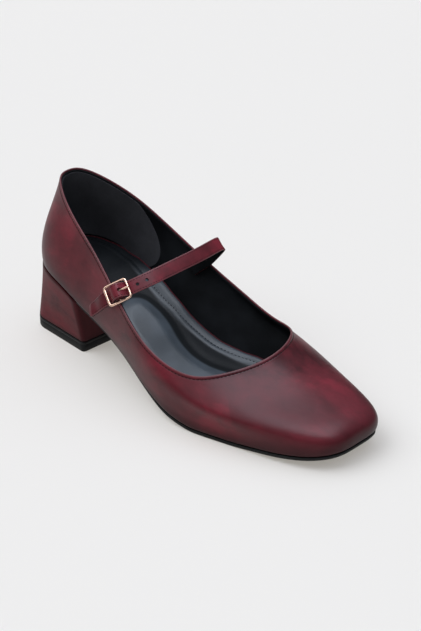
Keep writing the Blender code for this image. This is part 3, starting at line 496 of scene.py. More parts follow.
class Last:
    """The shape of the shell: its feather line, its topline and the wall between them."""

    def __init__(self):
        foot = np.column_stack([column(SECTIONS, 1) * LENGTH, column(SECTIONS, 2) * BALL_WIDTH])
        top_x = column(SECTIONS, 3) * LENGTH
        wall_height = BACK_HEIGHT + (INSTEP_HEIGHT - BACK_HEIGHT) * top_x / top_x.max()
        top_z = bottom_height(top_x) + wall_height * column(SECTIONS, 5)
        top = np.column_stack([top_x, column(SECTIONS, 4) * BALL_WIDTH, top_z])
        handles = np.column_stack([column(SECTIONS, k) for k in (6, 7, 8, 9)])
        steps = []
        for line in ((foot + top[:, :2]) / 2, foot):
            closed = np.vstack([line, line[:1]])
            steps.append(np.linalg.norm(np.diff(closed, axis=0), axis=1))
        step = np.sqrt(steps[0] * steps[1])
        self.knots = np.concatenate([[0], np.cumsum(step)[:-1]]) / step.sum()
        self.foot_curve = ClosedCurve(self.knots, foot)
        self.top_curve = ClosedCurve(self.knots, top)
        self.handle_curve = ClosedCurve(self.knots, handles)

    def feather(self, t):
        """Points of the feather line and the directions out of it, level."""
        flat, rate = self.foot_curve.at(t)
        return np.column_stack([flat, bottom_height(flat[:, 0])]), outward(rate)

    def handles(self, t):
        """The four points of each section's curve, from foot to top."""
        foot, foot_out = self.feather(t)
        top, rate = self.top_curve.at(t)
        top_out = outward(rate[:, :2])
        shape, _ = self.handle_curve.at(t)
        span = np.linalg.norm(top - foot, axis=1)
        foot_lean = np.radians(shape[:, 0])
        top_lean = np.radians(shape[:, 2])
        rising = np.column_stack([foot_out * np.sin(foot_lean)[:, None], np.cos(foot_lean)])
        falling = np.column_stack([top_out * np.sin(top_lean)[:, None], -np.cos(top_lean)])
        low = foot + rising * (shape[:, 1] * span)[:, None]
        high = top + falling * (shape[:, 3] * span)[:, None]
        return foot, low, high, top

    def surface(self, t, s):
        """Points of the outer surface, t round the shoe and s from feather line to topline."""
        foot, low, high, top = self.handles(t)
        s = np.broadcast_to(np.asarray(s, float), np.shape(t))[:, None]
        return (1 - s) ** 3 * foot + 3 * s * (1 - s) ** 2 * low + 3 * s**2 * (1 - s) * high + s**3 * top

    def directions(self, t, s):
        """Unit vectors round, up and out of the outer surface."""
        nudge = 1e-4
        t = np.asarray(t, float)
        s = np.clip(np.broadcast_to(np.asarray(s, float), t.shape), nudge, 1 - nudge)
        round_way = self.surface(t + nudge, s) - self.surface(t - nudge, s)
        up_way = self.surface(t, s + nudge) - self.surface(t, s - nudge)
        return [unit(v) for v in (round_way, up_way, np.cross(round_way, up_way))]

    def normal(self, t, s):
        """Unit vectors out of the outer surface."""
        return self.directions(t, s)[2]

    def inside(self, t, s, depth):
        """Points at a depth inside the outer surface."""
        return self.surface(t, s) - depth * self.normal(t, s)

    def lining(self, t, s):
        """Points of the inner surface, a wall's thickness inside the outer one."""
        return self.inside(t, s, UPPER_WALL)

    def share_below(self, t, distance):
        """The s at a distance below the topline."""
        _, _, high, top = self.handles(t)
        return 1 - distance / (3 * np.linalg.norm(top - high, axis=1))

    def share_above(self, t, distance):
        """The s at a distance above the feather line."""
        foot, low, _, _ = self.handles(t)
        return distance / (3 * np.linalg.norm(low - foot, axis=1))

    def lining_at_height(self, t, height):
        """Points of the inner surface at heights over the floor, found low on the wall."""
        low = self.share_above(t, UPPER_WALL)
        high = np.full(len(t), 0.6)
        for _ in range(30):
            middle = (low + high) / 2
            below = self.lining(t, middle)[:, 2] < height
            low = np.where(below, middle, low)
            high = np.where(below, high, middle)
        return self.lining(t, middle)

    def inside_at(self, x, z, t):
        """The point of the inner surface at a place along the shoe and a height, found from a t near it."""
        nudge = 1e-4
        s = 0.9
        for _ in range(12):
            here, beside, above = self.lining(np.array([t, t + nudge, t]), np.array([s, s, s + nudge]))
            turn = np.column_stack([beside - here, above - here])[[0, 2]] / nudge
            t_change, s_change = np.linalg.solve(turn, (x - here[0], z - here[2]))
            t += t_change
            s += s_change
        return here

    def topline_place(self, x, inner_side):
        """The t at which the topline passes a place along the shoe, on the inner or the outer side."""
        t = np.linspace(0, 1, 2001)[:-1]
        top, _ = self.top_curve.at(t)
        side = top[:, 1] > 0 if inner_side else top[:, 1] < 0
        return t[np.argmin(np.where(side, np.abs(top[:, 0] - x), np.inf))]

    def soft_spots(self, table, points):
        """Sum of the soft oval spots of a table at each point."""
        total = np.zeros(len(points))
        for _, round_share, up_share, turn, length, width, amount in table:
            place = np.array([round_share])
            centre = self.surface(place, up_share)[0]
            round_way, up_way, _ = (v[0] for v in self.directions(place, up_share))
            angle = math.radians(turn)
            along = round_way * math.cos(angle) + up_way * math.sin(angle)
            beside = np.cross(along, np.cross(round_way, up_way))
            away = points - centre
            reach = (away @ along / length) ** 2 + (away @ beside / width) ** 2
            total += amount * np.exp(-reach) * (np.linalg.norm(away, axis=1) < 4 * length)
        return total

    def relief(self, s, points):
        """How far the soft creases push the leather in at each point."""
        return self.soft_spots(CREASES, points) * ease(s, 0.02, 0.15) * ease(-s, -1.0, -0.97)


LAST = Last()
ROUND = np.arange(ROUND_STEPS) / ROUND_STEPS


def sides(points):
    """The outer and the inner side of an outline, each from back to front."""
    outline = np.asarray(points)
    turned = np.roll(outline, -np.argmin(outline[:, 0]), axis=0)
    front = np.argmax(turned[:, 0])
    return turned[: front + 1], np.vstack([turned[:1], turned[front:][::-1]])


def towards_middle(points):
    """The steps from an outline's points to the middle line of the shoe."""
    back = points[:, 0].min() + BALL_WIDTH * 0.37
    front = points[:, 0].max() - BALL_WIDTH * 0.37
    middle_x = np.clip(points[:, 0], back, front)
    order = np.linspace(back, front, 60)
    outer, inner = sides(points)
    middle_y = (np.interp(order, outer[:, 0], outer[:, 1]) + np.interp(order, inner[:, 0], inner[:, 1])) / 2
    return np.column_stack([middle_x, np.interp(middle_x, order, middle_y)]) - points


def inset_reach(points):
    """How far an outline's points lie from the middle line."""
    return np.linalg.norm(towards_middle(points), axis=1)


def inset(points, distance):
    """Points moved from an outline towards the middle line of the shoe, so that no corner folds over."""
    return points + towards_middle(points) * (distance / inset_reach(points))[:, None]


def with_height(flat, lift):
    """Level points set at a distance over the feather line's height."""
    return np.column_stack([flat, bottom_height(flat[:, 0]) + lift])


def evenly(points, count):
    """A line of points resampled at even distances."""
    points = np.asarray(points)
    run = np.concatenate([[0], np.cumsum(np.linalg.norm(np.diff(points, axis=0), axis=1))])
    marks = np.linspace(0, run[-1], count)
    return np.column_stack([np.interp(marks, run, points[:, k]) for k in range(points.shape[1])])


def shoe_to_frame():
    """The step from the shoe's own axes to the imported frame, read at the top lift."""
    low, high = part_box("heel_lift")
    return np.array([low.x - HEEL_FOOT_BACK, (low.y + high.y) / 2, 0.0])


SHIFT = shoe_to_frame()


# Meshes


class Cloth:
    """Collects the points, faces and surface marks of one piece."""

    def __init__(self):
        self.points = []
        self.faces = []
        self.marks = {}
        self.count = 0

    def rows(self, rows, closed_ring=True, closed_round=True, **marks):
        """Adds rows of points with faces between neighbours. A ring is a row, rows follow each other."""
        rows = np.asarray(rows, float)
        down, along = rows.shape[:2]
        first = self.count
        self.points.append(rows.reshape(-1, 3))
        self.count += down * along
        numbers = first + np.arange(down * along).reshape(down, along)
        if closed_ring:
            numbers = np.hstack([numbers, numbers[:, :1]])
        if closed_round:
            numbers = np.vstack([numbers, numbers[:1]])
        quads = np.stack([numbers[:-1, :-1], numbers[:-1, 1:], numbers[1:, 1:], numbers[1:, :-1]], axis=-1)
        self.faces += quads.reshape(-1, 4).tolist()
        for name, value in marks.items():
            spread = np.broadcast_to(np.asarray(value, float), (down, along)).reshape(-1)
            self.marks.setdefault(name, []).append((first, spread))
        return first + np.arange(down * along).reshape(down, along)

    def cap(self, ring, facing_out=True):
        """Closes a ring with one face."""
        ring = [int(number) for number in ring]
        self.faces.append(ring if facing_out else ring[::-1])

    def bridge_lid(self, ring, facing_up):
        """Closes a ring with strips across the shoe, so that the lid follows the height along it."""
        points = np.vstack(self.points)
        ring = [int(number) for number in ring]
        along = [points[number][0] for number in ring]
        back = along.index(min(along))
        turned = ring[back:] + ring[:back]
        front = max(range(len(turned)), key=lambda k: points[turned[k]][0])
        outer = turned[: front + 1]
        inner = [turned[0]] + turned[front:][::-1]
        i = 0
        j = 0
        while i < len(outer) - 1 or j < len(inner) - 1:
            outer_next = points[outer[i + 1]][0] if i < len(outer) - 1 else math.inf
            inner_next = points[inner[j + 1]][0] if j < len(inner) - 1 else math.inf
            if outer_next <= inner_next:
                face = (outer[i], outer[i + 1], inner[j])
                i += 1
            else:
                face = (outer[i], inner[j + 1], inner[j])
                j += 1
            if len(set(face)) == 3:
                self.faces.append(list(face if facing_up else face[::-1]))

    def tube(self, rows, **marks):
        """Adds rings that follow each other, closed with a face at both ends."""
        numbers = self.rows(rows, closed_round=False, **marks)
        self.cap(numbers[0], facing_out=False)
        self.cap(numbers[-1])

    def block(self, rows, **marks):
        """Adds rings from below to above, closed with a lid across the shoe at both ends."""
        numbers = self.rows(rows, closed_round=False, **marks)
        self.bridge_lid(numbers[0], facing_up=False)
        self.bridge_lid(numbers[-1], facing_up=True)

    def make(self, name, material, smooth_angle=50, replaces=()):
        """The piece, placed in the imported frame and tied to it."""
        mesh = bpy.data.meshes.new(name)
        points = np.vstack(self.points) + SHIFT
        mesh.from_pydata(points.tolist(), [], self.faces)
        mesh.validate()
        mesh.shade_smooth()
        mesh.set_sharp_from_angle(angle=math.radians(smooth_angle))
        for mark, parts in self.marks.items():
            values = np.zeros(self.count)
            for first, spread in parts:
                values[first : first + len(spread)] = spread
            mesh.attributes.new(mark, "FLOAT", "POINT").data.foreach_set("value", values.astype(np.float32))
        mesh.materials.append(material)
        piece = bpy.data.objects.new(name, mesh)
        bpy.context.scene.collection.objects.link(piece)
        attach(piece, "root")
        if replaces:
            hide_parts(*replaces)
        return piece


def stitches(cloth, path, normals, pitch, thickness, sunk, closed=True):
    """Adds a row of short, plump stitches along a path that lies on a surface."""
    path = np.asarray(path, float)
    normals = np.asarray(normals, float)
    if closed:
        path = np.vstack([path, path[:1]])
        normals = np.vstack([normals, normals[:1]])
    run = np.concatenate([[0], np.cumsum(np.linalg.norm(np.diff(path, axis=0), axis=1))])
    count = max(int(run[-1] / pitch), 2)
    marks = (np.arange(count) + 0.5) * run[-1] / count
    half = run[-1] / count * 0.38

    def at(values, where):
        return np.column_stack([np.interp(where, run, values[:, k]) for k in range(3)])

    middle = at(path, marks)
    ahead = unit(at(path, np.clip(marks + half, 0, run[-1])) - at(path, np.clip(marks - half, 0, run[-1])))
    up = at(normals, marks)
    beside = unit(np.cross(up, ahead))
    radius = thickness / 2
    middle = middle - up * (thickness * sunk)
    turns = np.arange(6) * math.pi / 3
    for point, way, side, over in zip(middle, ahead, beside, up):
        rings = []
        for place, size, dip in STITCH_RINGS:
            centre = point + way * half * place + over * radius * dip
            rings.append([centre + radius * size * (side * math.cos(a) + over * math.sin(a)) for a in turns])
        cloth.tube(rings)


# Finishes


class Value:
    """A shader socket that takes part in sums."""

    def __init__(self, finish, socket):
        self.finish = finish
        self.socket = socket

    def __add__(self, other):
        return self.finish.sum("ADD", self, other)

    def __sub__(self, other):
        return self.finish.sum("SUBTRACT", self, other)

    def __rsub__(self, other):
        return self.finish.sum("SUBTRACT", other, self)

    def __mul__(self, other):
        return self.finish.sum("MULTIPLY", self, other)

    __radd__ = __add__
    __rmul__ = __mul__


class Nodes:
    """The nodes of a material or of the surround."""

    def __init__(self, tree):
        self.tree = tree

    def node(self, kind, settings, values, output):
        """Adds a node, sets it up and returns one of its outputs."""
        made = self.tree.nodes.new(kind)
        for name, value in settings.items():
            if name == "stops":
                for stop, (place, colour) in zip(made.color_ramp.elements, value):
                    stop.position = place
                    stop.color = (*colour, 1)
            else:
                setattr(made, name, value)
        for name, value in values.items():
            self.feed(made.inputs[name], value)
        return Value(self, made.outputs[output])

    def feed(self, socket, value):
        """Links or sets a socket."""
        if isinstance(value, Value):
            self.tree.links.new(value.socket, socket)
        elif isinstance(value, tuple) and socket.type == "RGBA":
            socket.default_value = (*value, 1.0)
        else:
            socket.default_value = value

    def sum(self, operation, one, other):
        """One Math node."""
        return self.node("ShaderNodeMath", {"operation": operation}, {0: one, 1: other}, "Value")

    def vector(self, operation, one, other):
        """One Vector Math node with two vectors."""
        return self.node("ShaderNodeVectorMath", {"operation": operation}, {0: one, 1: other}, "Vector")


class Finish(Nodes):
    """A material and the nodes that make it vary over the surface."""

    def __init__(self, name, **constants):
        self.material = bpy.data.materials.new(name)
        self.material.use_nodes = True
        super().__init__(self.material.node_tree)
        self.shader = self.tree.nodes["Principled BSDF"]
        for socket, value in constants.items():
            self.shader.inputs[socket.replace("_", " ")].default_value = value
        self.place = self.node("ShaderNodeTexCoord", {}, {}, "Object")

    def stretched(self, x, y, z):
        """The place on the piece, with each axis scaled."""
        return self.vector("MULTIPLY", self.place, (x, y, z))

    def moved(self, place, amount, by):
        """A place pushed about by a colour's three channels."""
        centred = self.vector("SUBTRACT", by, (0.5, 0.5, 0.5))
        return self.vector("ADD", place, self.vector("MULTIPLY", centred, (amount, amount, amount)))

    def noise(self, size, detail=2.0, rough=0.5, place=None, output="Fac"):
        """Soft noise whose features are about size metres wide."""
        values = {"Vector": place or self.place, "Scale": 1.0 / size, "Detail": detail, "Roughness": rough}
        return self.node("ShaderNodeTexNoise", {}, values, output)

    def pebbles(self, size):
        """Distance to the nearest of scattered points about size metres apart."""
        values = {"Vector": self.place, "Scale": 1.0 / size}
        return self.node("ShaderNodeTexVoronoi", {}, values, "Distance")

    def rise(self, value, low, high, start=0.0, end=1.0):
        """A smooth rise of a value between two levels."""
        settings = {"interpolation_type": "SMOOTHSTEP"}
        values = {"Value": value, "From Min": low, "From Max": high, "To Min": start, "To Max": end}
        return self.node("ShaderNodeMapRange", settings, values, "Result")

    def mark(self, name):
        """A mark that the mesh carries."""
        return self.node("ShaderNodeAttribute", {"attribute_name": name}, {}, "Fac")

    def mix(self, share, one, other):
        """A mix of two colours."""
        return self.node("ShaderNodeMix", {"data_type": "RGBA"}, {0: share, 6: one, 7: other}, 2)

    def bump(self, height, strength, distance, normal=None):
        """The shading of a fine relief."""
        values = {"Height": height, "Strength": strength, "Distance": distance}
        if normal is not None:
            values["Normal"] = normal
        return self.node("ShaderNodeBump", {}, values, "Normal")

    def done(self, base, roughness, normal=None, **others):
        """Feeds the shader and returns the material."""
        inputs = {"Base Color": base, "Roughness": roughness}
        if normal is not None:
            inputs["Normal"] = normal
        inputs.update({name.replace("_", " "): value for name, value in others.items()})
        for name, value in inputs.items():
            self.feed(self.shader.inputs[name], value)
        return self.material


def tinted(colour, share):
    """A colour made darker or lighter by a share."""
    return tuple(min(value * share, 1.0) for value in colour)


def leather_finish(name, settings, browner=0.0, shine=0.17):
    """Antiqued burgundy leather: cloudy tones, painted shade near the sole, in the seam and in some darker
    tones, painted highlights on the edges, a fine grain and a soft polish.
    """
    made = Finish(name, Coat_Roughness=0.30, Specular_IOR_Level=shine)
    size = settings.cloud_size
    drift = made.noise(size * 1.6, output="Color")
    place = made.moved(made.stretched(0.72, 1.0, 1.0), size * 0.8, drift)
    clouds = made.noise(size, 4.0, 0.58, place)
    flecks = made.noise(size * 0.28, 5.0, 0.62, place)
    smudges = made.noise(size * 0.55, 3.0, 0.5, made.stretched(0.6, 1.2, 1.3))
    tone = clouds * 0.66 + flecks * 0.34
    deep = tuple(settings.deep)
    bright = tuple(settings.bright)
    middle = tuple(value + browner * step for value, step in zip(settings.middle, (0.004, 0.003, 0.002)))
    colour = made.mix(made.rise(tone, 0.36, 0.52), deep, middle)
    colour = made.mix(made.rise(tone, 0.50, 0.66) * 0.8, colour, bright)
    colour = made.mix(made.rise(smudges, 0.52, 0.70) * 0.45, colour, deep)
    # The tone mark: redder patches, and darker ones, of which the toe, outer vamp and heel front shades are
    # painted shade.
    patch_tone = made.mark("tone")
    colour = made.mix(made.rise(patch_tone * (0.6 + flecks * 0.8), 0.0, 0.8), colour, bright)
    colour = made.mix(made.rise(patch_tone * (-0.6 - flecks * 0.8), 0.0, 0.8) * 0.8, colour, deep)
    # Painted shade: the low mark darkens the leather near the sole and at the heel's ends, in the shade next
    # to the parts it meets.
    colour = made.mix(made.mark("low") * (0.45 + flecks * 0.6), colour, tinted(deep, 0.35))
    # Painted shade in the sunk channel along the topline seam.
    colour = made.mix(made.mark("seam") * 0.40, colour, tinted(deep, 0.2))
    # Painted highlight: the edge mark lightens the top of the folded topline and the upper edges and ends of
    # strap and tab, where they catch the light.
    colour = made.mix(made.mark("edge") * (0.45 + flecks * 0.7), colour, tuple(settings.edge))
    fine = made.noise(settings.grain_size * 2.2, 3.0, 0.6)
    grain = made.rise(made.pebbles(settings.grain_size), 0.0, 0.75) * 0.7 + fine * 0.5
    normal = made.bump(made.noise(0.011), 0.16, 0.0009)
    normal = made.bump(grain, 0.10, 0.00012, normal)
    rough = settings.roughness + browner * 0.12 + (clouds - 0.5) * 0.22 + (fine - 0.5) * 0.10
    coat = made.rise(clouds, 0.3, 0.7, 0.0, 0.04 * (1 - browner))
    return made.done(colour, rough, normal, Coat_Weight=coat)


def lining_finish(settings):
    """Smooth black lining leather with fine creases."""
    made = Finish("black_lining", Specular_IOR_Level=0.05)
    cloud = made.noise(0.018, 3.0, 0.55)
    creases = made.noise(0.004, 4.0, 0.65, made.stretched(0.5, 1.0, 1.6))
    colour = made.mix(made.rise(cloud, 0.35, 0.7), tuple(settings.lining), tinted(settings.lining, 1.8))
    normal = made.bump(creases, 0.12, 0.0004)
    normal = made.bump(made.pebbles(0.0008), 0.12, 0.00012, normal)
    return made.done(colour, 0.58 + (cloud - 0.5) * 0.2, normal)


def suede_finish(settings):
    """Dark suede with a short nap."""
    made = Finish("grip_suede", Specular_IOR_Level=0.25)
    nap = made.noise(0.0007, 4.0, 0.7, made.stretched(1.0, 1.0, 0.6))
    brushed = made.noise(0.012, 3.0, 0.6)
    colour = made.mix(made.rise(brushed, 0.35, 0.68), tinted(settings.grip, 0.7), tuple(settings.grip))
    colour = made.mix(nap * 0.5, colour, tinted(settings.grip, 2.0))
    return made.done(colour, 0.85 + (nap - 0.5) * 0.2, made.bump(nap, 0.5, 0.0003))


def sock_finish(settings):
    """Satin sock leather, smooth over the pad, with painted shade that makes it black in the groove round
    the pad and over the seat behind, and a little darker over the band.
    """
    made = Finish("padded_sock", Coat_Roughness=0.38, Specular_IOR_Level=0.10)
    cloud = made.noise(0.022, 3.0, 0.5)
    fine = made.noise(0.0016, 3.0, 0.6)
    flank = made.mark("flank")
    sock = settings.sock
    colour = made.mix(made.rise(cloud, 0.35, 0.7), tinted(sock, 0.8), tinted(sock, 1.25))
    # Painted shade: near black in the groove round the pad and over the seat, darker over the band.
    colour = made.mix(flank * 0.95, colour, tinted(sock, 0.06))
    normal = made.bump(fine, 0.10, 0.0002)
    normal = made.bump(made.pebbles(0.0007), 0.10, 0.0001, normal)
    rough = 0.44 + (cloud - 0.5) * 0.16 + flank * 0.15
    return made.done(colour, rough, normal, Coat_Weight=(0.48 + cloud * 0.2) * (1.0 - flank * 0.93))


def thread_finish(name, colour):
    """Waxed, twisted thread."""
    made = Finish(name, Specular_IOR_Level=0.08)
    twist = made.noise(0.00035, 2.0, 0.6, made.stretched(1.0, 1.0, 2.5))
    tone = made.noise(0.006)
    base = made.mix(twist * 0.6 + tone * 0.3, tinted(colour, 0.7), tinted(colour, 1.8))
    return made.done(base, 0.55 + (twist - 0.5) * 0.3, made.bump(twist, 0.5, 0.0001))


def gold_finish(settings):
    """Polished rose gold plate with faint rubbing."""
    made = Finish("rose_gold_plate", Metallic=1.0)
    patch_tone = made.noise(0.006, 3.0, 0.5)
    fine = made.noise(0.0005, 3.0, 0.6)
    colour = made.mix(made.rise(patch_tone, 0.3, 0.6), tinted(settings.gold, 0.78), tuple(settings.gold))
    colour = made.mix(made.rise(patch_tone, 0.55, 0.8), colour, tinted(settings.gold, 1.12))
    return made.done(colour, 0.17 + patch_tone * 0.16, made.bump(fine, 0.06, 0.00005))


def sole_finish(name, settings):
    """Matt black rubber, faintly mottled, scuffed and with fine ribs under the tread."""
    made = Finish(name, Specular_IOR_Level=0.20)
    mottle = made.noise(0.004, 4.0, 0.6)
    specks = made.noise(0.0006, 3.0, 0.6)
    scuffs = made.noise(0.009, 4.0, 0.7, made.stretched(0.35, 1.6, 1.0))
    sole = settings.sole
    under = made.mark("under")
    colour = made.mix(made.rise(mottle, 0.35, 0.7), tinted(sole, 0.75), tinted(sole, 1.35))
    colour = made.mix(under * made.rise(scuffs, 0.5, 0.75) * 0.5, colour, tinted(sole, 3.5))
    ribs = {"Vector": made.place, "Scale": 1.0 / settings.tread_pitch / math.tau}
    wave = made.node("ShaderNodeTexWave", {"bands_direction": "X"}, ribs, "Fac")
    normal = made.bump(specks, 0.25, 0.0001)
    normal = made.bump(wave * under, 0.5, 0.0003, normal)
    return made.done(colour, 0.52 + (mottle - 0.5) * 0.24, normal)


def once(name, maker, *values):
    """A material made once and shared by the pieces that have it."""
    return bpy.data.materials.get(name) or maker(*values)


def burgundy(scene):
    """The upper's and strap's leather."""
    return once("burgundy_leather_finish", leather_finish, "burgundy_leather_finish", scene.pump_leather)


def thread(name, colour):
    """A thread's finish."""
    return once(name, thread_finish, name, tuple(colour))


# Pieces of the shoe


def upper_rows():
    """Shares of the wall's height for the outer rows, finer at the folded edge."""
    even = [k / WALL_STEPS for k in range(WALL_STEPS)]
    below = (0.0033, 0.0028, 0.0024, 0.0021, 0.0018, 0.0016, 0.0014, 0.0012, 0.0010, 0.0007, 0.0004, 0.0002)
    first = LAST.share_above(ROUND, FEATHER_ROUND)
    last = LAST.share_below(ROUND, 0.0038)
    rows = [first + (last - first) * share for share in even]
    rows += [LAST.share_below(ROUND, distance) for distance in below]
    return rows


def edge_bead(distance):
    """How far the folded edge stands out of the leather, and the seam below it sinks in."""
    fold = FOLD_BEAD * ease(-distance, -0.0014, -0.0007)
    return fold - SEAM_SINK * hump(distance, TOPLINE_SEAM, 0.0003)


def outer_point(s):
    """Points of the leather's face at shares of the height, with creases and the folded edge."""
    _, _, high, top = LAST.handles(ROUND)
    distance = (1 - s) * 3 * np.linalg.norm(top - high, axis=1)
    plain = LAST.surface(ROUND, s)
    move = edge_bead(distance) - LAST.relief(s, plain)
    return plain + LAST.normal(ROUND, s) * move[:, None], distance


class SHOE_OT_upper(bpy.types.Operator):
    """Leather shell with its folded topline, the lining inside it and the seam round the edge"""

    bl_idname = "shoe.upper"
    bl_label = "Upper, lining and topline seam"

    def execute(self, context):
        scene = context.scene
        self.leather(scene)
        self.lining(scene)
        self.seam(scene)
        return {"FINISHED"}

    def leather(self, scene):
        """The leather, from the turned-in margin up over the folded edge to the lining's top."""
        rows = []
        marks = {"low": [], "edge": [], "tone": [], "seam": []}

        def add(points, **values):
            rows.append(points)
            for name, kept in marks.items():
                kept.append(np.broadcast_to(values.get(name, 0.0), ROUND_STEPS))

        foot, foot_out = LAST.feather(ROUND)
        margin = foot[:, :2] - foot_out * LASTING_MARGIN
        add(with_height(margin, 0.0), low=1.0)
        turned_in = with_height(foot[:, :2] - foot_out * FEATHER_ROUND, 0.0)
        upright, _ = outer_point(LAST.share_above(ROUND, FEATHER_ROUND))
        for k in range(6):
            u = k / 6
            add((1 - u) ** 2 * turned_in + 2 * u * (1 - u) * foot + u**2 * upright, low=1.0)
        for s in upper_rows():
            points, distance = outer_point(s)
            # Painted shade: the leather darkens over the last 9 mm above the sole, where shade falls under
            # the bulge of the wall.
            low = ease(foot[:, 2] - LAST.surface(ROUND, s)[:, 2], -0.009, -0.001) * 0.9
            # Painted highlight along the last half millimetre of the face below the folded edge.
            edge = 0.5 * ease(-distance, -0.0006, -0.0001)
            # Painted shade in the groove of the topline seam.
            seam = hump(distance, TOPLINE_SEAM, 0.0005)
            add(points, low=low, edge=edge, tone=LAST.soft_spots(TONES, points), seam=seam)
        out = LAST.normal(ROUND, 1.0)
        rim = LAST.surface(ROUND, 1.0)
        up = unit(rim - LAST.surface(ROUND, LAST.share_below(ROUND, 0.001)))
        # Painted highlight over the fold: lightest on its top, where light falls, and dimmer on its inner
        # face.
        for turn in (15, 40, 65, 90, 115, 140, 165):
            angle = math.radians(turn)
            beside = (LEATHER_WALL / 2 + 0.0001) * math.cos(angle) - LEATHER_WALL / 2
            lift = LEATHER_WALL * 0.55 * math.sin(angle)
            add(rim + out * beside + up * lift, edge=0.6 + 0.4 * math.sin(angle) if turn < 100 else 0.3)
        for distance in (0.0003, 0.0012):
            add(LAST.inside(ROUND, LAST.share_below(ROUND, distance), LEATHER_WALL + 0.00005))
        for share in (0.8, 0.5, 0.25, 0.06):
            add(LAST.inside(ROUND, share, LEATHER_WALL))
        add(with_height(foot[:, :2] - foot_out * TURNED_EDGE, LEATHER_WALL), low=1.0)
        add(with_height(margin, LEATHER_WALL), low=1.0)
        cloth = Cloth()
        cloth.rows(rows, **{name: np.array(kept) for name, kept in marks.items()})
        cloth.make("upper_leather", burgundy(scene), replaces=("upper",))

    def lining(self, scene):
        """The black lining against the leather's inner face."""
        lowest = LAST.share_above(ROUND, UPPER_WALL)
        highest = LAST.share_below(ROUND, LINING_DROP + 0.0004)
        back = LEATHER_WALL + 0.0001
        rows = [LAST.inside(ROUND, lowest + (highest - lowest) * k / 10, back) for k in range(11)]
        for turn in (150, 110, 70, 30):
            angle = math.radians(turn)
            s = LAST.share_below(ROUND, LINING_DROP + 0.0003 * (1 - math.sin(angle)))
            depth = (UPPER_WALL + back + (UPPER_WALL - back) * math.cos(angle)) / 2
            rows.append(LAST.inside(ROUND, s, depth))
        for k in range(36, -1, -1):
            s = lowest + (highest - lowest) * k / 36
            push = LAST.relief(s, LAST.surface(ROUND, s)) * 0.5
            rows.append(LAST.lining(ROUND, s) - LAST.normal(ROUND, s) * push[:, None])
        cloth = Cloth()
        cloth.rows(rows)
        lining = once("black_lining", lining_finish, scene.pump_lining)
        cloth.make("upper_lining", lining)

    def seam(self, scene):
        """The stitches below the folded edge, seen outside and inside."""
        set_up = scene.pump_stitches
        s = LAST.share_below(ROUND, TOPLINE_SEAM)
        points, _ = outer_point(s)
        out = LAST.normal(ROUND, s)
        cloth = Cloth()
        stitches(cloth, points, out, set_up.pitch, set_up.thread, 0.0)
        cloth.make("topline_stitches", thread("dark_thread", set_up.dark))
        inside = Cloth()
        stitches(inside, LAST.lining(ROUND, s), -out, set_up.pitch, set_up.thread * 0.8, 0.1)
        inside.make("topline_stitches_inside", thread("grey_thread", set_up.grey))


class SHOE_OT_heel_grip(bpy.types.Operator):
    """Suede patch on the lining at the back of the heel"""

    bl_idname = "shoe.heel_grip"
    bl_label = "Heel grip"

    def execute(self, context):
        face = []
        back = []
        for share in np.linspace(0, 1, 27):
            # The front edges curve: the patch is widest in the middle of its height.
            reach = GRIP_REACH * (0.60 + 0.40 * math.sin(math.pi * (0.18 + 0.72 * share)))
            t = np.linspace(-reach, reach, 91)
            lowest = LAST.share_above(t, GRIP_BOTTOM)
            s = lowest + (LAST.share_below(t, GRIP_TOP) - lowest) * share
            face.append(LAST.inside(t, s, UPPER_WALL + GRIP_THICKNESS))
            back.append(LAST.inside(t, s, UPPER_WALL + 0.00004))
        cloth = Cloth()
        sheets = [cloth.rows(rows, closed_ring=False, closed_round=False) for rows in (face[::-1], back)]
        sheets[1] = sheets[1][::-1]
        # The face and the back meet in a rim once round the patch.
        rims = [np.concatenate([n[0], n[1:, -1], n[-1, -2::-1], n[-2:0:-1, 0]]) for n in sheets]
        front, behind = (rim.tolist() for rim in rims)
        for k in range(len(front)):
            cloth.faces.append([front[k], front[k - 1], behind[k - 1], behind[k]])
        suede = once("grip_suede", suede_finish, context.scene.pump_lining)
        cloth.make("heel_grip", suede)
        return {"FINISHED"}


SOCK_BASE = UPPER_WALL + GAP


def arch_rise(flat):
    """Height that the sock gains under the arch, less on the outer side than on the inner one."""
    along = steady(flat[:, 0], column(INSOLE_ARCH, 1) * LENGTH, column(INSOLE_ARCH, 2))
    side = np.clip(flat[:, 1] / (BALL_WIDTH * 0.3), -1, 1)
    return INSOLE_ARCH_RISE * along * (1 - INSOLE_ARCH_TILT * (1 - side))


def on_sock(flat, rise):
    """Points on the sock's top, over level ones. The rise is a share of the pad's."""
    return with_height(flat, SOCK_BASE + INSOLE_THICKNESS + rise * INSOLE_PAD_RISE + arch_rise(flat))


def band_column(flat, index, elsewhere):
    """A column of the band's table on the inner side, and one value on the outer side."""
    inner = steady(flat[:, 0], column(SOCK_BAND, 1) * LENGTH, column(SOCK_BAND, index))
    side = ease(flat[:, 1], -0.010, 0.010)
    return inner * side + elsewhere * (1 - side)


def sock_outlines():
    """The sock's level outlines at its bottom and at its top, where it follows the lining up the arch."""
    foot, foot_out = LAST.feather(ROUND)
    bottom = foot[:, :2] - foot_out * (UPPER_WALL + WALL_CLEARANCE)
    edge_height = bottom_height(foot[:, 0]) + SOCK_BASE + INSOLE_THICKNESS + arch_rise(foot)
    edge_height += band_column(foot, 3, 0.0)
    top = LAST.lining_at_height(ROUND, edge_height)[:, :2] - foot_out * WALL_CLEARANCE
    return bottom, top


def pad_line():
    """Even points on the border of the raised pad."""
    border = np.column_stack([column(PAD_BORDER, 1) * LENGTH, column(PAD_BORDER, 2) * BALL_WIDTH])
    step = np.linalg.norm(np.roll(border, -1, axis=0) - border, axis=1)
    knots = np.concatenate([[0], np.cumsum(step)[:-1]]) / step.sum()
    line, _ = ClosedCurve(knots, border).at(np.arange(240) / 240)
    return line


PAD_LINE = pad_line()


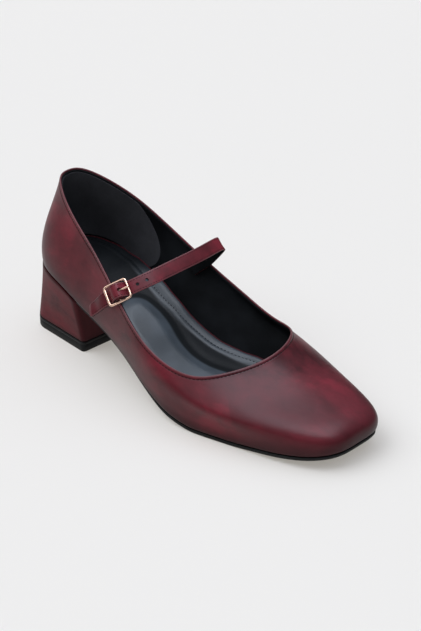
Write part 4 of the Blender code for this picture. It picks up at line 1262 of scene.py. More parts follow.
def pad_distance(flat):
    """Distance of level points from the pad's border, below 0 inside it."""
    after = np.roll(PAD_LINE, -1, axis=0)
    ahead = after - PAD_LINE
    away = flat[:, None, :] - PAD_LINE
    share = np.clip((away * ahead).sum(axis=2) / (ahead**2).sum(axis=1), 0, 1)
    nearest = np.linalg.norm(away - share[:, :, None] * ahead, axis=2).min(axis=1)
    # A point is inside where a line from it along the shoe crosses the border an odd number of times.
    spans = (PAD_LINE[:, 1] > flat[:, None, 1]) != (after[:, 1] > flat[:, None, 1])
    rise = np.where(ahead[:, 1] == 0, 1e-12, ahead[:, 1])
    crossing = PAD_LINE[:, 0] + (flat[:, None, 1] - PAD_LINE[:, 1]) * ahead[:, 0] / rise
    inside = (spans & (flat[:, None, 0] < crossing)).sum(axis=1) % 2 == 1
    return np.where(inside, -nearest, nearest)


def sock_top(outline, distance):
    """Points of the sock's top at distances from its edge, with how much painted shade darkens it there."""
    flat = inset(outline, distance)
    seam = band_column(outline, 2, OUTER_BAND_SEAM)
    away = pad_distance(flat)
    past_band = ease(distance, seam + 0.0018, seam + 0.0042)
    rise = ease(-away, -0.0018, 0.0080)
    for place, width, height in (
        (seam, 0.0007, -0.10),
        (seam + 0.0019, 0.0013, 0.16),
        (seam * 0.5, 0.0018, 0.10),
    ):
        rise += height * hump(distance, place, width)
    rise -= 0.42 * hump(away, 0.0050, 0.0030) * past_band
    points = on_sock(flat, rise)
    points[:, 2] += band_column(outline, 3, 0.0) * (1 - ease(distance, 0.001, 0.010))
    # Painted shade: black in the groove between the band and the pad, and a little over the band.
    dark = np.maximum(past_band * ease(away, -0.0014, 0.0010), 0.38 * (1 - past_band))
    # Painted shadow over the seat behind the pad, where the back of the shoe shades it.
    behind = 1 - ease(flat[:, 0], 0.050, 0.076)
    return points, np.maximum(dark, behind * (0.96 + 0.04 * past_band))


class SHOE_OT_sock(bpy.types.Operator):
    """Padded sock with its bound edge and its seam"""

    bl_idname = "shoe.sock"
    bl_label = "Sock and its seam"

    def execute(self, context):
        scene = context.scene
        bottom, outline = sock_outlines()
        room = 0.97 * inset_reach(outline) - SOCK_EDGE_ROUND
        distances = [0.0, 0.0003, 0.0010, SOCK_EDGE_ROUND]
        distances += [SOCK_EDGE_ROUND + room * k / SOCK_STEPS for k in range(1, SOCK_STEPS + 1)]
        rows, painted_sock_shades = zip(*(sock_top(outline, distance) for distance in distances))
        rows[0][:, 2] -= 0.0004
        cloth = Cloth()
        rows = [with_height(bottom, SOCK_BASE), *rows]
        cloth.block(rows, flank=np.array([np.zeros(ROUND_STEPS), *painted_sock_shades]))
        sock = once("padded_sock", sock_finish, scene.pump_lining)
        made = cloth.make("padded_sock", sock, smooth_angle=70, replaces=("insole",))
        self.binding(scene, outline)
        self.seam(scene, outline)
        return {"FINISHED"}

    def binding(self, scene, outline):
        """The fine bead round the sock's edge."""
        radius = scene.pump_lining.binding_radius
        centre, _ = sock_top(outline, radius * 1.1)
        centre[:, 2] += radius * 0.1
        rate = np.roll(centre, -1, axis=0) - np.roll(centre, 1, axis=0)
        out = np.column_stack([outward(rate), np.zeros(ROUND_STEPS)])
        rows = []
        for k in range(8):
            angle = math.tau * k / 8
            rows.append(centre + out * radius * math.cos(angle) + (0.0, 0.0, radius * math.sin(angle)))
        cloth = Cloth()
        cloth.rows(rows)
        finish = thread("binding_finish", scene.pump_lining.binding)
        cloth.make("sock_binding", finish)

    def seam(self, scene, outline):
        """The stitches on the sock's band."""
        set_up = scene.pump_stitches
        distance = band_column(outline, 2, OUTER_BAND_SEAM)
        path, _ = sock_top(outline, distance)
        ahead = np.roll(path, -1, axis=0) - np.roll(path, 1, axis=0)
        inwards = sock_top(outline, distance + 0.0030)[0] - sock_top(outline, distance - 0.0020)[0]
        up = np.cross(inwards, ahead)
        up = unit(up * np.sign(up[:, 2:]))
        cloth = Cloth()
        stitches(cloth, path, up, set_up.pitch * 1.05, set_up.thread * 1.15, 0.05)
        cloth.make("sock_stitches", thread("grey_thread", set_up.grey))


def outsole_outline(step):
    """The outsole's level outline, cut straight behind at the heel's breast, and then moved in by a step."""
    foot, foot_out = LAST.feather(ROUND)
    inside = OUTSOLE_INSET * steady(foot[:, 0], column(OUTSOLE_EDGE, 1) * LENGTH, column(OUTSOLE_EDGE, 2))
    edge = foot[:, :2] - foot_out * (inside + step)[:, None]
    outer, inner = sides(edge)
    start = HEEL_BREAST + GAP + step
    outer_start = np.interp(start, outer[:, 0], outer[:, 1])
    inner_start = np.interp(start, inner[:, 0], inner[:, 1])
    kept_outer = evenly(np.vstack([[(start, outer_start)], outer[outer[:, 0] > start + 0.0002]]), 190)
    kept_inner = evenly(np.vstack([[(start, inner_start)], inner[inner[:, 0] > start + 0.0002]]), 190)
    return np.vstack([kept_outer, kept_inner[:-1][::-1]])


class SHOE_OT_outsole(bpy.types.Operator):
    """Thin black sole with a rounded edge and fine ribs under the tread"""

    bl_idname = "shoe.outsole"
    bl_label = "Outsole"

    def execute(self, context):
        bottom = -GAP - OUTSOLE_THICKNESS
        rows = []
        under = []
        for step, lift, mark in (
            (0.0032, bottom, 1.0),
            (0.0022, bottom, 1.0),
            (0.0010, bottom + 0.00006, 0.6),
            (0.0004, bottom + 0.0003, 0.0),
            (0.0, bottom + 0.0008, 0.0),
            (0.0, -GAP - 0.0005, 0.0),
            (0.0002, -GAP - 0.0002, 0.0),
            (0.0006, -GAP, 0.0),
        ):
            rows.append(with_height(outsole_outline(step), lift))
            under.append(np.full(len(rows[-1]), mark))
        cloth = Cloth()
        cloth.block(rows, under=np.array(under))
        rubber = once("sole_rubber", sole_finish, "sole_rubber", context.scene.pump_hardware)
        cloth.make("outsole_rubber", rubber, smooth_angle=60, replaces=("outsole",))
        return {"FINISHED"}


def corner_arc(start, corner, end, steps):
    """A soft turn from start to end, bent towards the corner."""
    u = np.linspace(0, 1, steps + 1)[:, None]
    return (1 - u) ** 2 * np.asarray(start) + 2 * u * (1 - u) * np.asarray(corner) + u**2 * np.asarray(end)


def with_front_corners(line, radius):
    """A ring made from a U-shaped line, outer front to inner front, with its front corners rounded."""
    line = np.asarray(line)
    run = np.concatenate([[0], np.cumsum(np.linalg.norm(np.diff(line, axis=0), axis=1))])
    marks = np.linspace(radius, run[-1] - radius, 150)
    middle = np.column_stack([np.interp(marks, run, line[:, k]) for k in range(2)])
    across = (line[-1] - line[0]) / np.linalg.norm(line[-1] - line[0])
    outer_arc = corner_arc(line[0] + across * radius, line[0], middle[0], 8)
    inner_arc = corner_arc(middle[-1], line[-1], line[-1] - across * radius, 8)
    front = np.linspace(inner_arc[-1], outer_arc[0], 26)[1:-1]
    return np.vstack([outer_arc[:-1], middle, inner_arc[1:], front])[::-1]


def heel_top_outline():
    """The block's upper outline, a little proud of the seat, from the breast round the back."""
    t = np.linspace(0, 1, 1601)[:-1]
    foot, foot_out = LAST.feather(t)
    outer, inner = sides(foot[:, :2] + foot_out * HEEL_TOP_PROUD)
    outer_kept = outer[outer[:, 0] < HEEL_BREAST]
    inner_kept = inner[inner[:, 0] < HEEL_BREAST]
    outer_end = (HEEL_BREAST, np.interp(HEEL_BREAST, outer[:, 0], outer[:, 1]))
    inner_end = (HEEL_BREAST, np.interp(HEEL_BREAST, inner[:, 0], inner[:, 1]))
    line = np.vstack([[outer_end], outer_kept[::-1], inner_kept[1:], [inner_end]])
    return with_front_corners(line, HEEL_FRONT_CORNER)


def heel_foot_outline():
    """The block's outline where it stands on its top lift."""
    foot_front = HEEL_BREAST - HEEL_FOOT_SETBACK
    front_half = HEEL_FOOT_WIDTH / 2
    back_half = HEEL_FOOT_BACK_WIDTH / 2
    radius = HEEL_FOOT_CORNER
    share = radius / (foot_front - HEEL_FOOT_BACK)
    side_half = back_half + (front_half - back_half) * share
    turn_in = (HEEL_FOOT_BACK + radius, side_half)
    corner = (HEEL_FOOT_BACK, back_half)
    turn_out = (HEEL_FOOT_BACK, back_half - radius)
    inner_arc = corner_arc(turn_out, corner, turn_in, 24)
    outer_arc = inner_arc[::-1] * (1, -1)
    line = np.vstack([[(foot_front, -front_half)], outer_arc, inner_arc, [(foot_front, front_half)]])
    return with_front_corners(line, HEEL_FRONT_CORNER)


def drawn_in(points, distance):
    """Level points moved towards their middle."""
    moved = points.copy()
    moved[:, :2] += unit(points[:, :2].mean(axis=0) - points[:, :2]) * distance
    return moved


class SHOE_OT_heel(bpy.types.Operator):
    """Leather-covered block heel and the black top lift under it"""

    bl_idname = "shoe.heel"
    bl_label = "Heel and top lift"

    def execute(self, context):
        scene = context.scene
        top = heel_top_outline()
        foot = heel_foot_outline()
        top_points = with_height(top, -GAP)
        foot_points = np.column_stack([foot, np.full(len(foot), LIFT_THICKNESS + GAP)])
        shares = [0.0, 0.006, 0.02, *np.linspace(0.05, 0.95, 19), 0.98, 0.994, 1.0]
        rows = []
        low = []
        for share in shares:
            level = foot_points * (1 - share) + top_points * share
            ends = 0.0005 * (1 - ease(share, 0.0, 0.02)) + 0.0005 * ease(share, 0.98, 1.0)
            rows.append(drawn_in(level, HEEL_WAIST * 4 * share * (1 - share) + ends))
            # Painted shade at both ends of the heel, next to the top lift and under the seat.
            low.append(np.full(len(level), 0.7 * (1 - ease(share, 0.0, 0.10)) + 0.8 * ease(share, 0.9, 1.0)))
        # The front face lies in the shade of the waist: painted shade darkens it most.
        front = -0.9 * ease(np.array(rows)[:, :, 0], HEEL_BREAST - 0.006, HEEL_BREAST - 0.003)
        cloth = Cloth()
        cloth.block(rows, low=np.array(low), edge=0.0, tone=front, seam=0.0)
        name = "heel_leather_finish"
        leather = once(name, leather_finish, name, scene.pump_leather, 1.0, 0.08)
        cloth.make("heel_cover", leather, replaces=("heel",))
        self.lift(scene, foot)
        return {"FINISHED"}

    def lift(self, scene, foot):
        """The top lift, with a fine groove where its two layers meet."""
        rows = []
        levels = (
            (0.0016, 0.0, 1.0),
            (0.0008, 0.0, 1.0),
            (0.0002, 0.0002, 0.3),
            (0.0, 0.0008, 0.0),
            (0.0, 0.0046, 0.0),
            (0.0002, 0.00475, 0.0),
            (0.0002, 0.0049, 0.0),
            (0.0, 0.00505, 0.0),
            (0.0, LIFT_THICKNESS - 0.0003, 0.0),
            (0.0003, LIFT_THICKNESS, 0.0),
            (0.0010, LIFT_THICKNESS, 0.0),
        )
        for step, height, _ in levels:
            rows.append(drawn_in(np.column_stack([foot, np.full(len(foot), height)]), step))
        marks = np.array([np.full(len(foot), mark) for _, _, mark in levels])
        cloth = Cloth()
        cloth.block(rows, under=marks)
        rubber = once("lift_rubber", sole_finish, "lift_rubber", scene.pump_hardware)
        cloth.make("top_lift", rubber, smooth_angle=60, replaces=("heel_lift",))


# Strap and buckle


class WallSeat:
    """Directions at a place of the topline where a strap is sewn inside the wall, over a depth of it."""

    def __init__(self, place, depth, pitch, inner_side):
        t = LAST.topline_place(place, inner_side)
        edge, before, after = LAST.lining(np.array([t, t - 0.005, t + 0.005]), np.ones(3))
        deep = LAST.inside_at(edge[0] - depth * math.sin(pitch), edge[2] - depth * math.cos(pitch), t)
        self.edge = Vector(edge)
        self.out = (Vector(after) - Vector(before)).cross(self.edge - Vector(deep)).normalized()
        down_instep = Vector((math.cos(pitch), 0.0, -math.sin(pitch)))
        self.across = (down_instep - self.out * down_instep.dot(self.out)).normalized()
        self.down = self.across.cross(self.out).normalized()
        if self.down.z > 0:
            self.down = -self.down


def flow(points, spacing):
    """Even points on a smooth line that passes through the given ones without swinging wide."""
    points = [Vector(point) for point in points]
    ends = [points[0] * 2 - points[1], *points, points[-1] * 2 - points[-2]]
    line = []
    for before, start, end, after in zip(ends, ends[1:], ends[2:], ends[3:]):
        t0 = 0.0
        t1 = t0 + max((start - before).length, 1e-6) ** 0.5
        t2 = t1 + max((end - start).length, 1e-6) ** 0.5
        t3 = t2 + max((after - end).length, 1e-6) ** 0.5
        for k in range(12):
            t = t1 + (t2 - t1) * k / 12
            a1 = before * ((t1 - t) / (t1 - t0)) + start * ((t - t0) / (t1 - t0))
            a2 = start * ((t2 - t) / (t2 - t1)) + end * ((t - t1) / (t2 - t1))
            a3 = end * ((t3 - t) / (t3 - t2)) + after * ((t - t2) / (t3 - t2))
            b1 = a1 * ((t2 - t) / (t2 - t0)) + a2 * ((t - t0) / (t2 - t0))
            b2 = a2 * ((t3 - t) / (t3 - t1)) + a3 * ((t - t1) / (t3 - t1))
            line.append(b1 * ((t2 - t) / (t2 - t1)) + b2 * ((t - t1) / (t2 - t1)))
    line.append(points[-1])
    length = sum((b - a).length for a, b in zip(line, line[1:]))
    return evenly(np.array([tuple(point) for point in line]), max(round(length / spacing), 2) + 1)


class Buckle:
    """Place of the buckle: its centre bar over the topline, its length along the strap."""

    def __init__(self):
        self.seat = WallSeat(STRAP_OUTER_PLACE, TAB_SEWN_LENGTH, STRAP_OUTER_PITCH, inner_side=False)
        self.centre = self.seat.edge - self.seat.down * BUCKLE_LIFT + self.seat.out * BUCKLE_OUT
        tilt = math.cos(BUCKLE_TILT)
        self.along = (self.seat.down * tilt + self.seat.out * math.sin(BUCKLE_TILT)).normalized()
        self.across = self.seat.across
        self.up = self.along.cross(self.across).normalized()
        if self.up.z < 0:
            self.across = -self.across
            self.up = -self.up
        self.axes = np.array([tuple(self.along), tuple(self.across), tuple(self.up)])

    def point(self, along, up):
        """A point on the buckle's middle line."""
        return self.centre + self.along * along + self.up * up

    def placed(self, points):
        """Points given in the buckle's own axes, in the shoe's axes."""
        return np.asarray(points) @ self.axes + np.array(self.centre)


BUCKLE = Buckle()
STRAP_UNDER_BAR = BUCKLE_WIRE / 2 + WALL_CLEARANCE + STRAP_THICKNESS / 2
STRAP_OVER_BAR = BUCKLE_WIRE / 2 + SEAM_GAP + TAB_THICKNESS + WALL_CLEARANCE + STRAP_THICKNESS / 2
PRONG_LEVEL = BUCKLE_WIRE / 2 + GAP + PRONG_WIRE / 2


def strap_line(spacing):
    """The strap's middle line and width directions, from its sewn end over the instep to its tail."""
    seat = WallSeat(STRAP_INNER_PLACE, STRAP_SEWN_LENGTH, STRAP_INNER_PITCH, inner_side=True)
    foot = seat.edge - seat.out * (WALL_CLEARANCE + STRAP_THICKNESS / 2)
    points = [foot + seat.down * STRAP_SEWN_LENGTH * share for share in (1.0, 0.5, 0.0)]
    points.append(foot - seat.down * UPPER_WALL)
    span = BUCKLE.seat.edge - seat.edge
    for _, share, forward, up in STRAP_COURSE:
        points.append(seat.edge + span * share + Vector((forward, 0.0, up)) * STRAP_RISE)
    half = BUCKLE_LENGTH / 2
    lift = (STRAP_OVER_BAR + STRAP_UNDER_BAR) / 2
    middle = (STRAP_OVER_BAR - STRAP_UNDER_BAR) / 2
    points.append(BUCKLE.point(-half - BUCKLE_WIRE, -STRAP_UNDER_BAR))
    for k in range(-8, 9):
        wave = math.cos(math.pi * abs(k / 8) ** 1.1)
        points.append(BUCKLE.point(half * k / 8, middle + lift * wave))
    down, out = BUCKLE.seat.down, BUCKLE.seat.out
    tail_way = down * math.cos(STRAP_TAIL_STAND) + out * math.sin(STRAP_TAIL_STAND)
    tail_start = BUCKLE.point(half, -STRAP_UNDER_BAR)
    for share, bend in ((0.1, 0.0), (0.3, 0.6), (0.65, 1.0), (1.0, 1.0)):
        way = BUCKLE.along * (1 - bend) + tail_way * bend
        points.append(tail_start + way * STRAP_TAIL_LENGTH * share)
    line = flow(points, spacing)
    reach = np.clip((line - np.array(seat.edge)) @ np.array(span) / span.length_squared, 0, 1)[:, None]
    across = np.array(seat.across) * (1 - reach) + np.array(BUCKLE.across) * reach
    beyond = (line - np.array(tail_start)) @ np.array(tail_way) / STRAP_TAIL_LENGTH
    twist = (np.clip(beyond, 0, 1) * STRAP_TAIL_TWIST)[:, None]
    aside = np.array(tail_way.cross(BUCKLE.across))
    across = across * np.cos(twist) + aside * np.sin(twist)
    tangent = unit(np.gradient(line, axis=0))
    across = unit(across - tangent * (across * tangent).sum(axis=1)[:, None])
    return line, across, np.cross(tangent, across)


def band_profile(width, low, high, edge=0.00028, crown=0.0):
    """A flat band's cross-section, aside and above: rounded edges and a faint crown."""
    half = width / 2 - edge
    shares = np.linspace(-1, 1, 15)
    side = []
    for turn in (60, 30):
        angle = math.radians(turn)
        side.append((half + edge * math.cos(angle), high - edge + edge * math.sin(angle)))
    side.append((width / 2, (low + high) / 2))
    for turn in (30, 60):
        angle = math.radians(turn)
        side.append((half + edge * math.cos(angle), low + edge - edge * math.sin(angle)))
    top = [(share * half, high + crown * (1 - share**2)) for share in shares]
    bottom = [(share * half, low) for share in shares[::-1]]
    return np.array(top + side + bottom + [(-aside, above) for aside, above in side[::-1]])


def add_band(cloth, line, across, over, profile, taper=None):
    """Adds a band of a cross-section along a line, closed at its ends."""
    size = np.ones(len(line)) if taper is None else taper
    aside = across[:, None] * (size[:, None, None] * profile[:, :1])
    rows = line[:, None] + aside + over[:, None] * profile[:, 1:]
    width = np.abs(profile[:, 0]).max()
    above = (profile[:, 1] - profile[:, 1].min()) / np.ptp(profile[:, 1])
    # Painted highlight along the band's upper edges, which face the light; the underside gets none.
    edge = ease(np.abs(profile[:, 0]), width - 0.0006, width - 0.0001) * ease(above, 0.4, 0.7)
    edges = np.tile(edge, (len(rows), 1))
    if taper is not None:
        # Painted highlight on the cut end of a tapered band.
        edges[-3:] = 1.0
    cloth.tube(rows, edge=edges, low=0.0, tone=0.0, seam=0.0)


def rounded_end(line, reach):
    """Shares of the width that round off the end of a band."""
    run = np.concatenate([[0], np.cumsum(np.linalg.norm(np.diff(line, axis=0), axis=1))])
    left = np.clip((run[-1] - run) / reach, 0, 1)
    return 0.86 + 0.14 * np.sqrt(1 - (1 - left) ** 2)


def punched(piece, holes):
    """Takes straight holes out of a piece for good. One with a spread is a slot, drawn out along aside."""
    for centre, way, aside, radius, length, spread in holes:
        points = []
        for k in range(40):
            angle = math.tau * (k + 0.5) / 20
            x = radius * math.cos(angle) + math.copysign(spread / 2, math.cos(angle))
            points.append((x, radius * math.sin(angle), length * (-0.5 if k < 20 else 0.5)))
        faces = [[k, (k + 1) % 20, 20 + (k + 1) % 20, 20 + k] for k in range(20)]
        faces += [list(range(19, -1, -1)), list(range(20, 40))]
        mesh = bpy.data.meshes.new("punch")
        mesh.from_pydata(points, [], faces)
        punch = bpy.data.objects.new("punch", mesh)
        through = Vector(way).normalized()
        aside = (aside - through * aside.dot(through)).normalized()
        turn = Matrix((aside, through.cross(aside), through)).transposed().to_4x4()
        punch.matrix_world = Matrix.Translation(Vector(centre) + Vector(SHIFT)) @ turn
        bpy.context.scene.collection.objects.link(punch)
        modifier = piece.modifiers.new("punch", "BOOLEAN")
        modifier.object = punch
        modifier.operation = "DIFFERENCE"
        bpy.context.view_layer.update()
        evaluated = piece.evaluated_get(bpy.context.evaluated_depsgraph_get())
        cut = bpy.data.meshes.new_from_object(evaluated)
        piece.modifiers.clear()
        old = piece.data
        piece.data = cut
        bpy.data.meshes.remove(old)
        bpy.data.objects.remove(punch)
    piece.data.shade_smooth()
    piece.data.set_sharp_from_angle(angle=math.radians(50))


class SHOE_OT_strap(bpy.types.Operator):
    """Instep strap with its black backing, holes and edge seams"""

    bl_idname = "shoe.strap"
    bl_label = "Strap"

    def execute(self, context):
        scene = context.scene
        line, across, over = strap_line(0.0006)
        half = STRAP_THICKNESS / 2
        taper = rounded_end(line, 0.0012)
        rods = self.holes(line)
        face = band_profile(STRAP_WIDTH, -half + 0.0005, half - 0.0001, crown=0.0001)
        top = Cloth()
        add_band(top, line, across, over, face, taper)
        leather = top.make("strap_leather", burgundy(scene), replaces=("strap",))
        punched(leather, rods)
        behind = band_profile(STRAP_WIDTH - 0.0003, -half, -half + BACKING_THICKNESS, edge=0.0002)
        backing = Cloth()
        add_band(backing, line, across, over, behind, taper)
        lining = once("black_lining", lining_finish, scene.pump_lining)
        punched(backing.make("strap_backing", lining), rods)
        self.seams(scene, line, across, over)
        return {"FINISHED"}

    def holes(self, line):
        """The prong's passage and the spare holes, as rods."""
        far = -BUCKLE_LENGTH / 2 + BUCKLE_WIRE / 2
        aside = BUCKLE.across
        rods = [(BUCKLE.point(far / 2, PRONG_LEVEL), BUCKLE.along, aside, PRONG_WIRE / 2 + GAP, -far, 0.0)]
        run = np.concatenate([[0], np.cumsum(np.linalg.norm(np.diff(line, axis=0), axis=1))])
        nearest = np.argmin(np.linalg.norm(line - np.array(BUCKLE.point(0.0, STRAP_OVER_BAR)), axis=1))
        for k in range(1, STRAP_SPARE_HOLES + 1):
            mark = run[nearest] - STRAP_HOLE_START - STRAP_HOLE_SPACING * k
            point = [np.interp(mark, run, line[:, axis]) for axis in range(3)]
            ahead = [np.interp(mark + 0.0005, run, line[:, axis]) for axis in range(3)]
            way = (Vector(ahead) - Vector(point)).normalized()
            through = way.cross(BUCKLE.across).normalized()
            rods.append((point, through, aside, STRAP_HOLE_RADIUS, STRAP_THICKNESS * 3, 0.0))
        used = BUCKLE.point(-BUCKLE_LENGTH * 0.17, STRAP_OVER_BAR)
        rods.append((used, BUCKLE.up, aside, PRONG_WIRE, STRAP_THICKNESS * 1.6, 0.0))
        return rods

    def seams(self, scene, line, across, over):
        """The two rows of stitches along the strap's edges."""
        set_up = scene.pump_stitches
        cloth = Cloth()
        shown = slice(int(len(line) * 0.07), -3)
        for side in (-1, 1):
            path = line + across * side * (STRAP_WIDTH / 2 - STRAP_SEAM_INSET)
            path += over * (STRAP_THICKNESS / 2 - 0.00008)
            pitch = set_up.pitch * 0.8
            stitches(cloth, path[shown], over[shown], pitch, set_up.thread * 0.72, 0.1, closed=False)
        cloth.make("strap_stitches", thread("dark_thread", set_up.dark))


def wire_rows(path, radius, closed):
    """Rings round a wire's line, in the buckle's own axes."""
    path = np.asarray(path, float)
    ahead = np.roll(path, -1, axis=0) - np.roll(path, 1, axis=0) if closed else np.gradient(path, axis=0)
    side = unit(np.cross(ahead, (0.0, 0.0, 1.0) if closed else (0.0, 1.0, 0.0)))
    other = np.cross(unit(ahead), side)
    turns = (math.tau * np.arange(WIRE_SIDES) / WIRE_SIDES)[:, None]
    ring = side[:, None] * np.cos(turns) + other[:, None] * np.sin(turns)
    return path[:, None] + np.broadcast_to(radius, len(path))[:, None, None] * ring


class SHOE_OT_buckle(bpy.types.Operator):
    """Wire buckle with its centre bar and prong, and the tab that holds it"""

    bl_idname = "shoe.buckle"
    bl_label = "Buckle and tab"

    def execute(self, context):
        scene = context.scene
        gold = once("rose_gold_plate", gold_finish, scene.pump_hardware)
        self.wire_frame(gold)
        self.prong(gold)
        self.tab(scene)
        return {"FINISHED"}

    def wire_frame(self, gold):
        """The wire rectangle and its bar."""
        path = []
        for k in range(240):
            angle = math.tau * (k + 0.5) / 240
            along = math.copysign(abs(math.cos(angle)) ** (2 / 9), math.cos(angle)) * BUCKLE_LENGTH / 2
            across = math.copysign(abs(math.sin(angle)) ** (2 / 9), math.sin(angle)) * BUCKLE_WIDTH / 2
            path.append((along, across, 0.0))
        loop = evenly(np.vstack([path, path[:1]]), 145)[:-1]
        cloth = Cloth()
        cloth.rows(BUCKLE.placed(wire_rows(loop, BUCKLE_WIRE / 2, True)))
        turns = math.tau * np.arange(WIRE_SIDES) / WIRE_SIDES
        ring = BUCKLE_WIRE * 0.46 * np.column_stack([np.sin(turns), 0 * turns, np.cos(turns)])
        places = np.linspace(-BUCKLE_WIDTH / 2, BUCKLE_WIDTH / 2, 9)
        cloth.tube(BUCKLE.placed([ring + (0.0, across, 0.0) for across in places]))
        cloth.make("buckle_wire", gold, smooth_angle=70, replaces=("buckle_frame",))

    def prong(self, gold):
        """The turn round the bar and the tongue that rests on the end bar."""
        radius = BUCKLE_WIRE / 2 + SEAM_GAP + PRONG_WIRE / 2
        path = []
        for k in range(15):
            angle = math.radians(-130 + 220 * k / 14)
            path.append((radius * math.cos(angle), 0.0, radius * math.sin(angle)))
        tip = -BUCKLE_LENGTH / 2 - BUCKLE_WIRE * 0.6
        for share in (0.3, 0.6, 0.8, 1.0):
            path.append((tip * share, 0.0, radius + (PRONG_LEVEL - radius) * min(share * 1.3, 1.0)))
        line = flow(path, 0.0003)
        size = np.full(len(line), PRONG_WIRE / 2)
        size[-3:] = PRONG_WIRE / 2 * np.array((0.94, 0.78, 0.45))
        size[:2] = PRONG_WIRE / 2 * np.array((0.6, 0.9))
        cloth = Cloth()
        cloth.tube(BUCKLE.placed(wire_rows(line, size, False)))
        cloth.make("buckle_tongue", gold, smooth_angle=70, replaces=("buckle_prong",))

    def tab(self, scene):
        """The tab: sewn inside the outer topline, up round the centre bar and back down onto itself."""
        turn = BUCKLE_WIRE / 2 + SEAM_GAP + TAB_THICKNESS / 2
        first_leg = -BUCKLE_OUT - WALL_CLEARANCE - TAB_THICKNESS / 2
        second_leg = first_leg - TAB_THICKNESS - SEAM_GAP
        foot = BUCKLE_LIFT + TAB_SEWN_LENGTH
        neck = BUCKLE_LIFT - UPPER_WALL - SEAM_GAP
        half_way = (foot + BUCKLE_LIFT) / 2
        line = [(foot, first_leg), (half_way, first_leg), (BUCKLE_LIFT, first_leg), (neck, first_leg)]
        for k in range(11):
            angle = math.radians(-92 + 205 * k / 10)
            line.append((-turn * math.sin(angle), turn * math.cos(angle)))
        line.append((neck - TAB_THICKNESS - WALL_CLEARANCE, first_leg))
        line += [(neck, second_leg), (BUCKLE_LIFT, second_leg), (half_way, second_leg), (foot, second_leg)]
        down = Vector((math.cos(BUCKLE_TILT), 0.0, -math.sin(BUCKLE_TILT)))
        out = Vector((math.sin(BUCKLE_TILT), 0.0, math.cos(BUCKLE_TILT)))
        path = flow([down * far + out * aside for far, aside in line], 0.0004)
        across = np.tile((0.0, 1.0, 0.0), (len(path), 1))
        over = np.cross(unit(np.gradient(path, axis=0)), across)
        profile = band_profile(TAB_WIDTH, -TAB_THICKNESS / 2, TAB_THICKNESS / 2, edge=0.00025)
        cloth = Cloth()
        add_band(cloth, BUCKLE.placed(path), across @ BUCKLE.axes, over @ BUCKLE.axes, profile)
        leather = cloth.make("tab_leather", burgundy(scene), replaces=("buckle_tab",))
        place = BUCKLE.point(-turn * 0.2, 0.0)
        slot = [(place, BUCKLE.up, BUCKLE.along, PRONG_WIRE / 2 + GAP, turn * 4.4, turn * 1.6)]
        punched(leather, slot)


# Stage


def add_light(name, kind, way, only=None, place=(0.0, 0.0, 0.0), **settings):
    """A light that shines one way, on everything or on some pieces only."""
    lamp = bpy.data.lights.new(name, kind)
    for setting, value in settings.items():
        setattr(lamp, setting, value)
    light = bpy.data.objects.new(name, lamp)
    light.location = place
    light.rotation_euler = Vector(way).to_track_quat("-Z", "Y").to_euler()
    bpy.context.scene.collection.objects.link(light)
    if only is not None:
        light.light_linking.receiver_collection = only
    return light


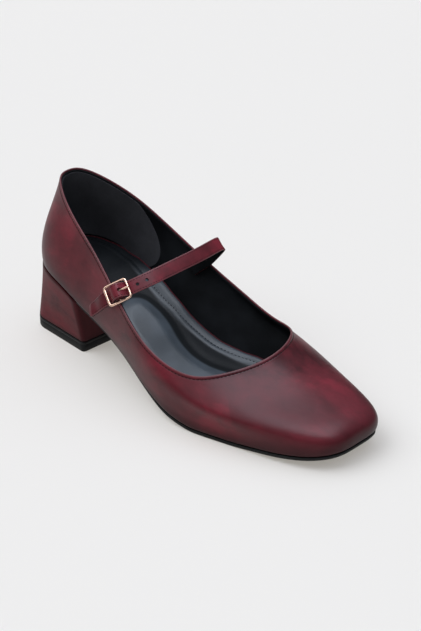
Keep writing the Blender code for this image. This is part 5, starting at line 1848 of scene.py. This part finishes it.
class SHOE_OT_stage(bpy.types.Operator):
    """Pale floor, soft light and the camera"""

    bl_idname = "shoe.stage"
    bl_label = "Floor, light and camera"

    def execute(self, context):
        scene = context.scene
        scene.view_settings.view_transform = "Standard"
        self.floor(scene)
        self.surround(scene)
        self.lights(scene)
        self.camera(scene)
        return {"FINISHED"}

    def floor(self, scene):
        """A wide floor whose tone varies faintly, like seamless paper."""
        size = 12.0
        steps = 24
        across = np.linspace(-size, size, steps + 1)
        rows = [[(x, y, -0.00005) for y in across] for x in across]
        cloth = Cloth()
        cloth.rows(np.array(rows)[::-1], closed_ring=False, closed_round=False)
        paper = Finish("paper", Specular_IOR_Level=0.0)
        tone = paper.noise(0.9, 2.0, 0.5)
        shade = tuple(scene.pump_stage.floor)
        base = paper.mix(paper.rise(tone, 0.3, 0.7), tinted(shade, 0.995), shade)
        material = paper.done(base, 0.9)
        mesh = bpy.data.meshes.new("floor")
        mesh.from_pydata(np.vstack(cloth.points).tolist(), [], cloth.faces)
        mesh.materials.append(material)
        floor = bpy.data.objects.new("floor", mesh)
        scene.collection.objects.link(floor)
        floor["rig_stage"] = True

    def surround(self, scene):
        """Light from all round, brighter overhead than at the horizon."""
        scene.world = bpy.data.worlds.new("studio")
        scene.world.use_nodes = True
        sky = Nodes(scene.world.node_tree)
        stage = scene.pump_stage
        place = sky.node("ShaderNodeTexCoord", {}, {}, "Generated")
        height = sky.node("ShaderNodeSeparateXYZ", {}, {0: place}, "Z")
        stops = ((0.2, stage.horizon), (0.85, stage.zenith))
        glow = sky.node("ShaderNodeValToRGB", {"stops": stops}, {0: height}, "Color")
        sky.feed(sky.tree.nodes["Background"].inputs["Color"], glow)

    def lights(self, scene):
        """Soft boxes that shine on the shoe alone, a sun on all, and two suns on the floor alone."""
        shoe = bpy.data.collections.new("shoe_pieces")
        stage = bpy.data.collections.new("stage_pieces")
        for thing in scene.objects:
            if thing.type == "MESH":
                (stage if "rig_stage" in thing else shoe).objects.link(thing)
        for name, energy, way, width, shoe_too in SUNS:
            only = None if shoe_too else stage
            add_light(name, "SUN", way, only, energy=energy, angle=math.radians(width))
        fill = scene.pump_stage.floor_fill
        warm = [value / max(fill) for value in fill]
        form = {"angle": 0.0, "use_shadow": False}
        add_light("floor_fill", "SUN", (0.0, 0.0, -1.0), stage, energy=max(fill), color=warm, **form)
        for name, place, target, size, share, colour in SOFT_BOXES:
            way = Vector(target) - Vector(place)
            power = scene.pump_stage.overhead * share
            form = {"shape": "RECTANGLE", "size": size[0], "size_y": size[1]}
            light = add_light(name, "AREA", way, shoe, place, **form, energy=power, color=colour)
            light.visible_glossy = name != "front"

    def camera(self, scene):
        """The camera at the photograph's place, looking down at the shoe."""
        forward = Vector(CAMERA_FORWARD).normalized()
        side = Vector(CAMERA_SIDE)
        side = (side - forward * side.dot(forward)).normalized()
        data = bpy.data.cameras.new("camera")
        data.lens = scene.pump_stage.lens
        data.sensor_width = 36.0
        data.clip_start = 0.01
        data.clip_end = 50.0
        camera = bpy.data.objects.new("camera", data)
        scene.collection.objects.link(camera)
        axes = Matrix((side, side.cross(forward), -forward)).transposed().to_4x4()
        camera.matrix_world = Matrix.Translation(Vector(CAMERA_PLACE) + Vector(SHIFT)) @ axes
        scene.camera = camera


class SHOE_PT_pieces(bpy.types.Panel):
    """Lists the pieces of the shoe and their settings"""

    bl_idname = "SHOE_PT_pieces"
    bl_label = "Mary jane pump"
    bl_space_type = "VIEW_3D"
    bl_region_type = "UI"
    bl_category = "Shoe"

    def draw(self, context):
        for operator in OPERATORS:
            self.layout.operator(operator.bl_idname)
        for name in SETTINGS:
            group = getattr(context.scene, name)
            box = self.layout.box()
            for setting in group.bl_rna.properties:
                if not setting.is_readonly and setting.identifier != "name":
                    box.prop(group, setting.identifier)


SETTINGS = {
    "pump_leather": LeatherSettings,
    "pump_lining": LiningSettings,
    "pump_stitches": StitchSettings,
    "pump_hardware": HardwareSettings,
    "pump_stage": StageSettings,
}
OPERATORS = (
    SHOE_OT_upper,
    SHOE_OT_heel_grip,
    SHOE_OT_sock,
    SHOE_OT_outsole,
    SHOE_OT_heel,
    SHOE_OT_strap,
    SHOE_OT_buckle,
    SHOE_OT_stage,
)


def register():
    """Registers the settings, operators and panel."""
    for name, group in SETTINGS.items():
        bpy.utils.register_class(group)
        setattr(bpy.types.Scene, name, bpy.props.PointerProperty(type=group))
    for operator in OPERATORS:
        bpy.utils.register_class(operator)
    bpy.utils.register_class(SHOE_PT_pieces)


def unregister():
    """Takes them out again."""
    bpy.utils.unregister_class(SHOE_PT_pieces)
    for operator in reversed(OPERATORS):
        bpy.utils.unregister_class(operator)
    for name, group in SETTINGS.items():
        delattr(bpy.types.Scene, name)
        bpy.utils.unregister_class(group)


def main():
    """Makes every piece and the stage."""
    register()
    bpy.ops.shoe.upper()
    bpy.ops.shoe.heel_grip()
    bpy.ops.shoe.sock()
    bpy.ops.shoe.outsole()
    bpy.ops.shoe.heel()
    bpy.ops.shoe.strap()
    bpy.ops.shoe.buckle()
    bpy.ops.shoe.stage()


if __name__ == "__main__":
    main()
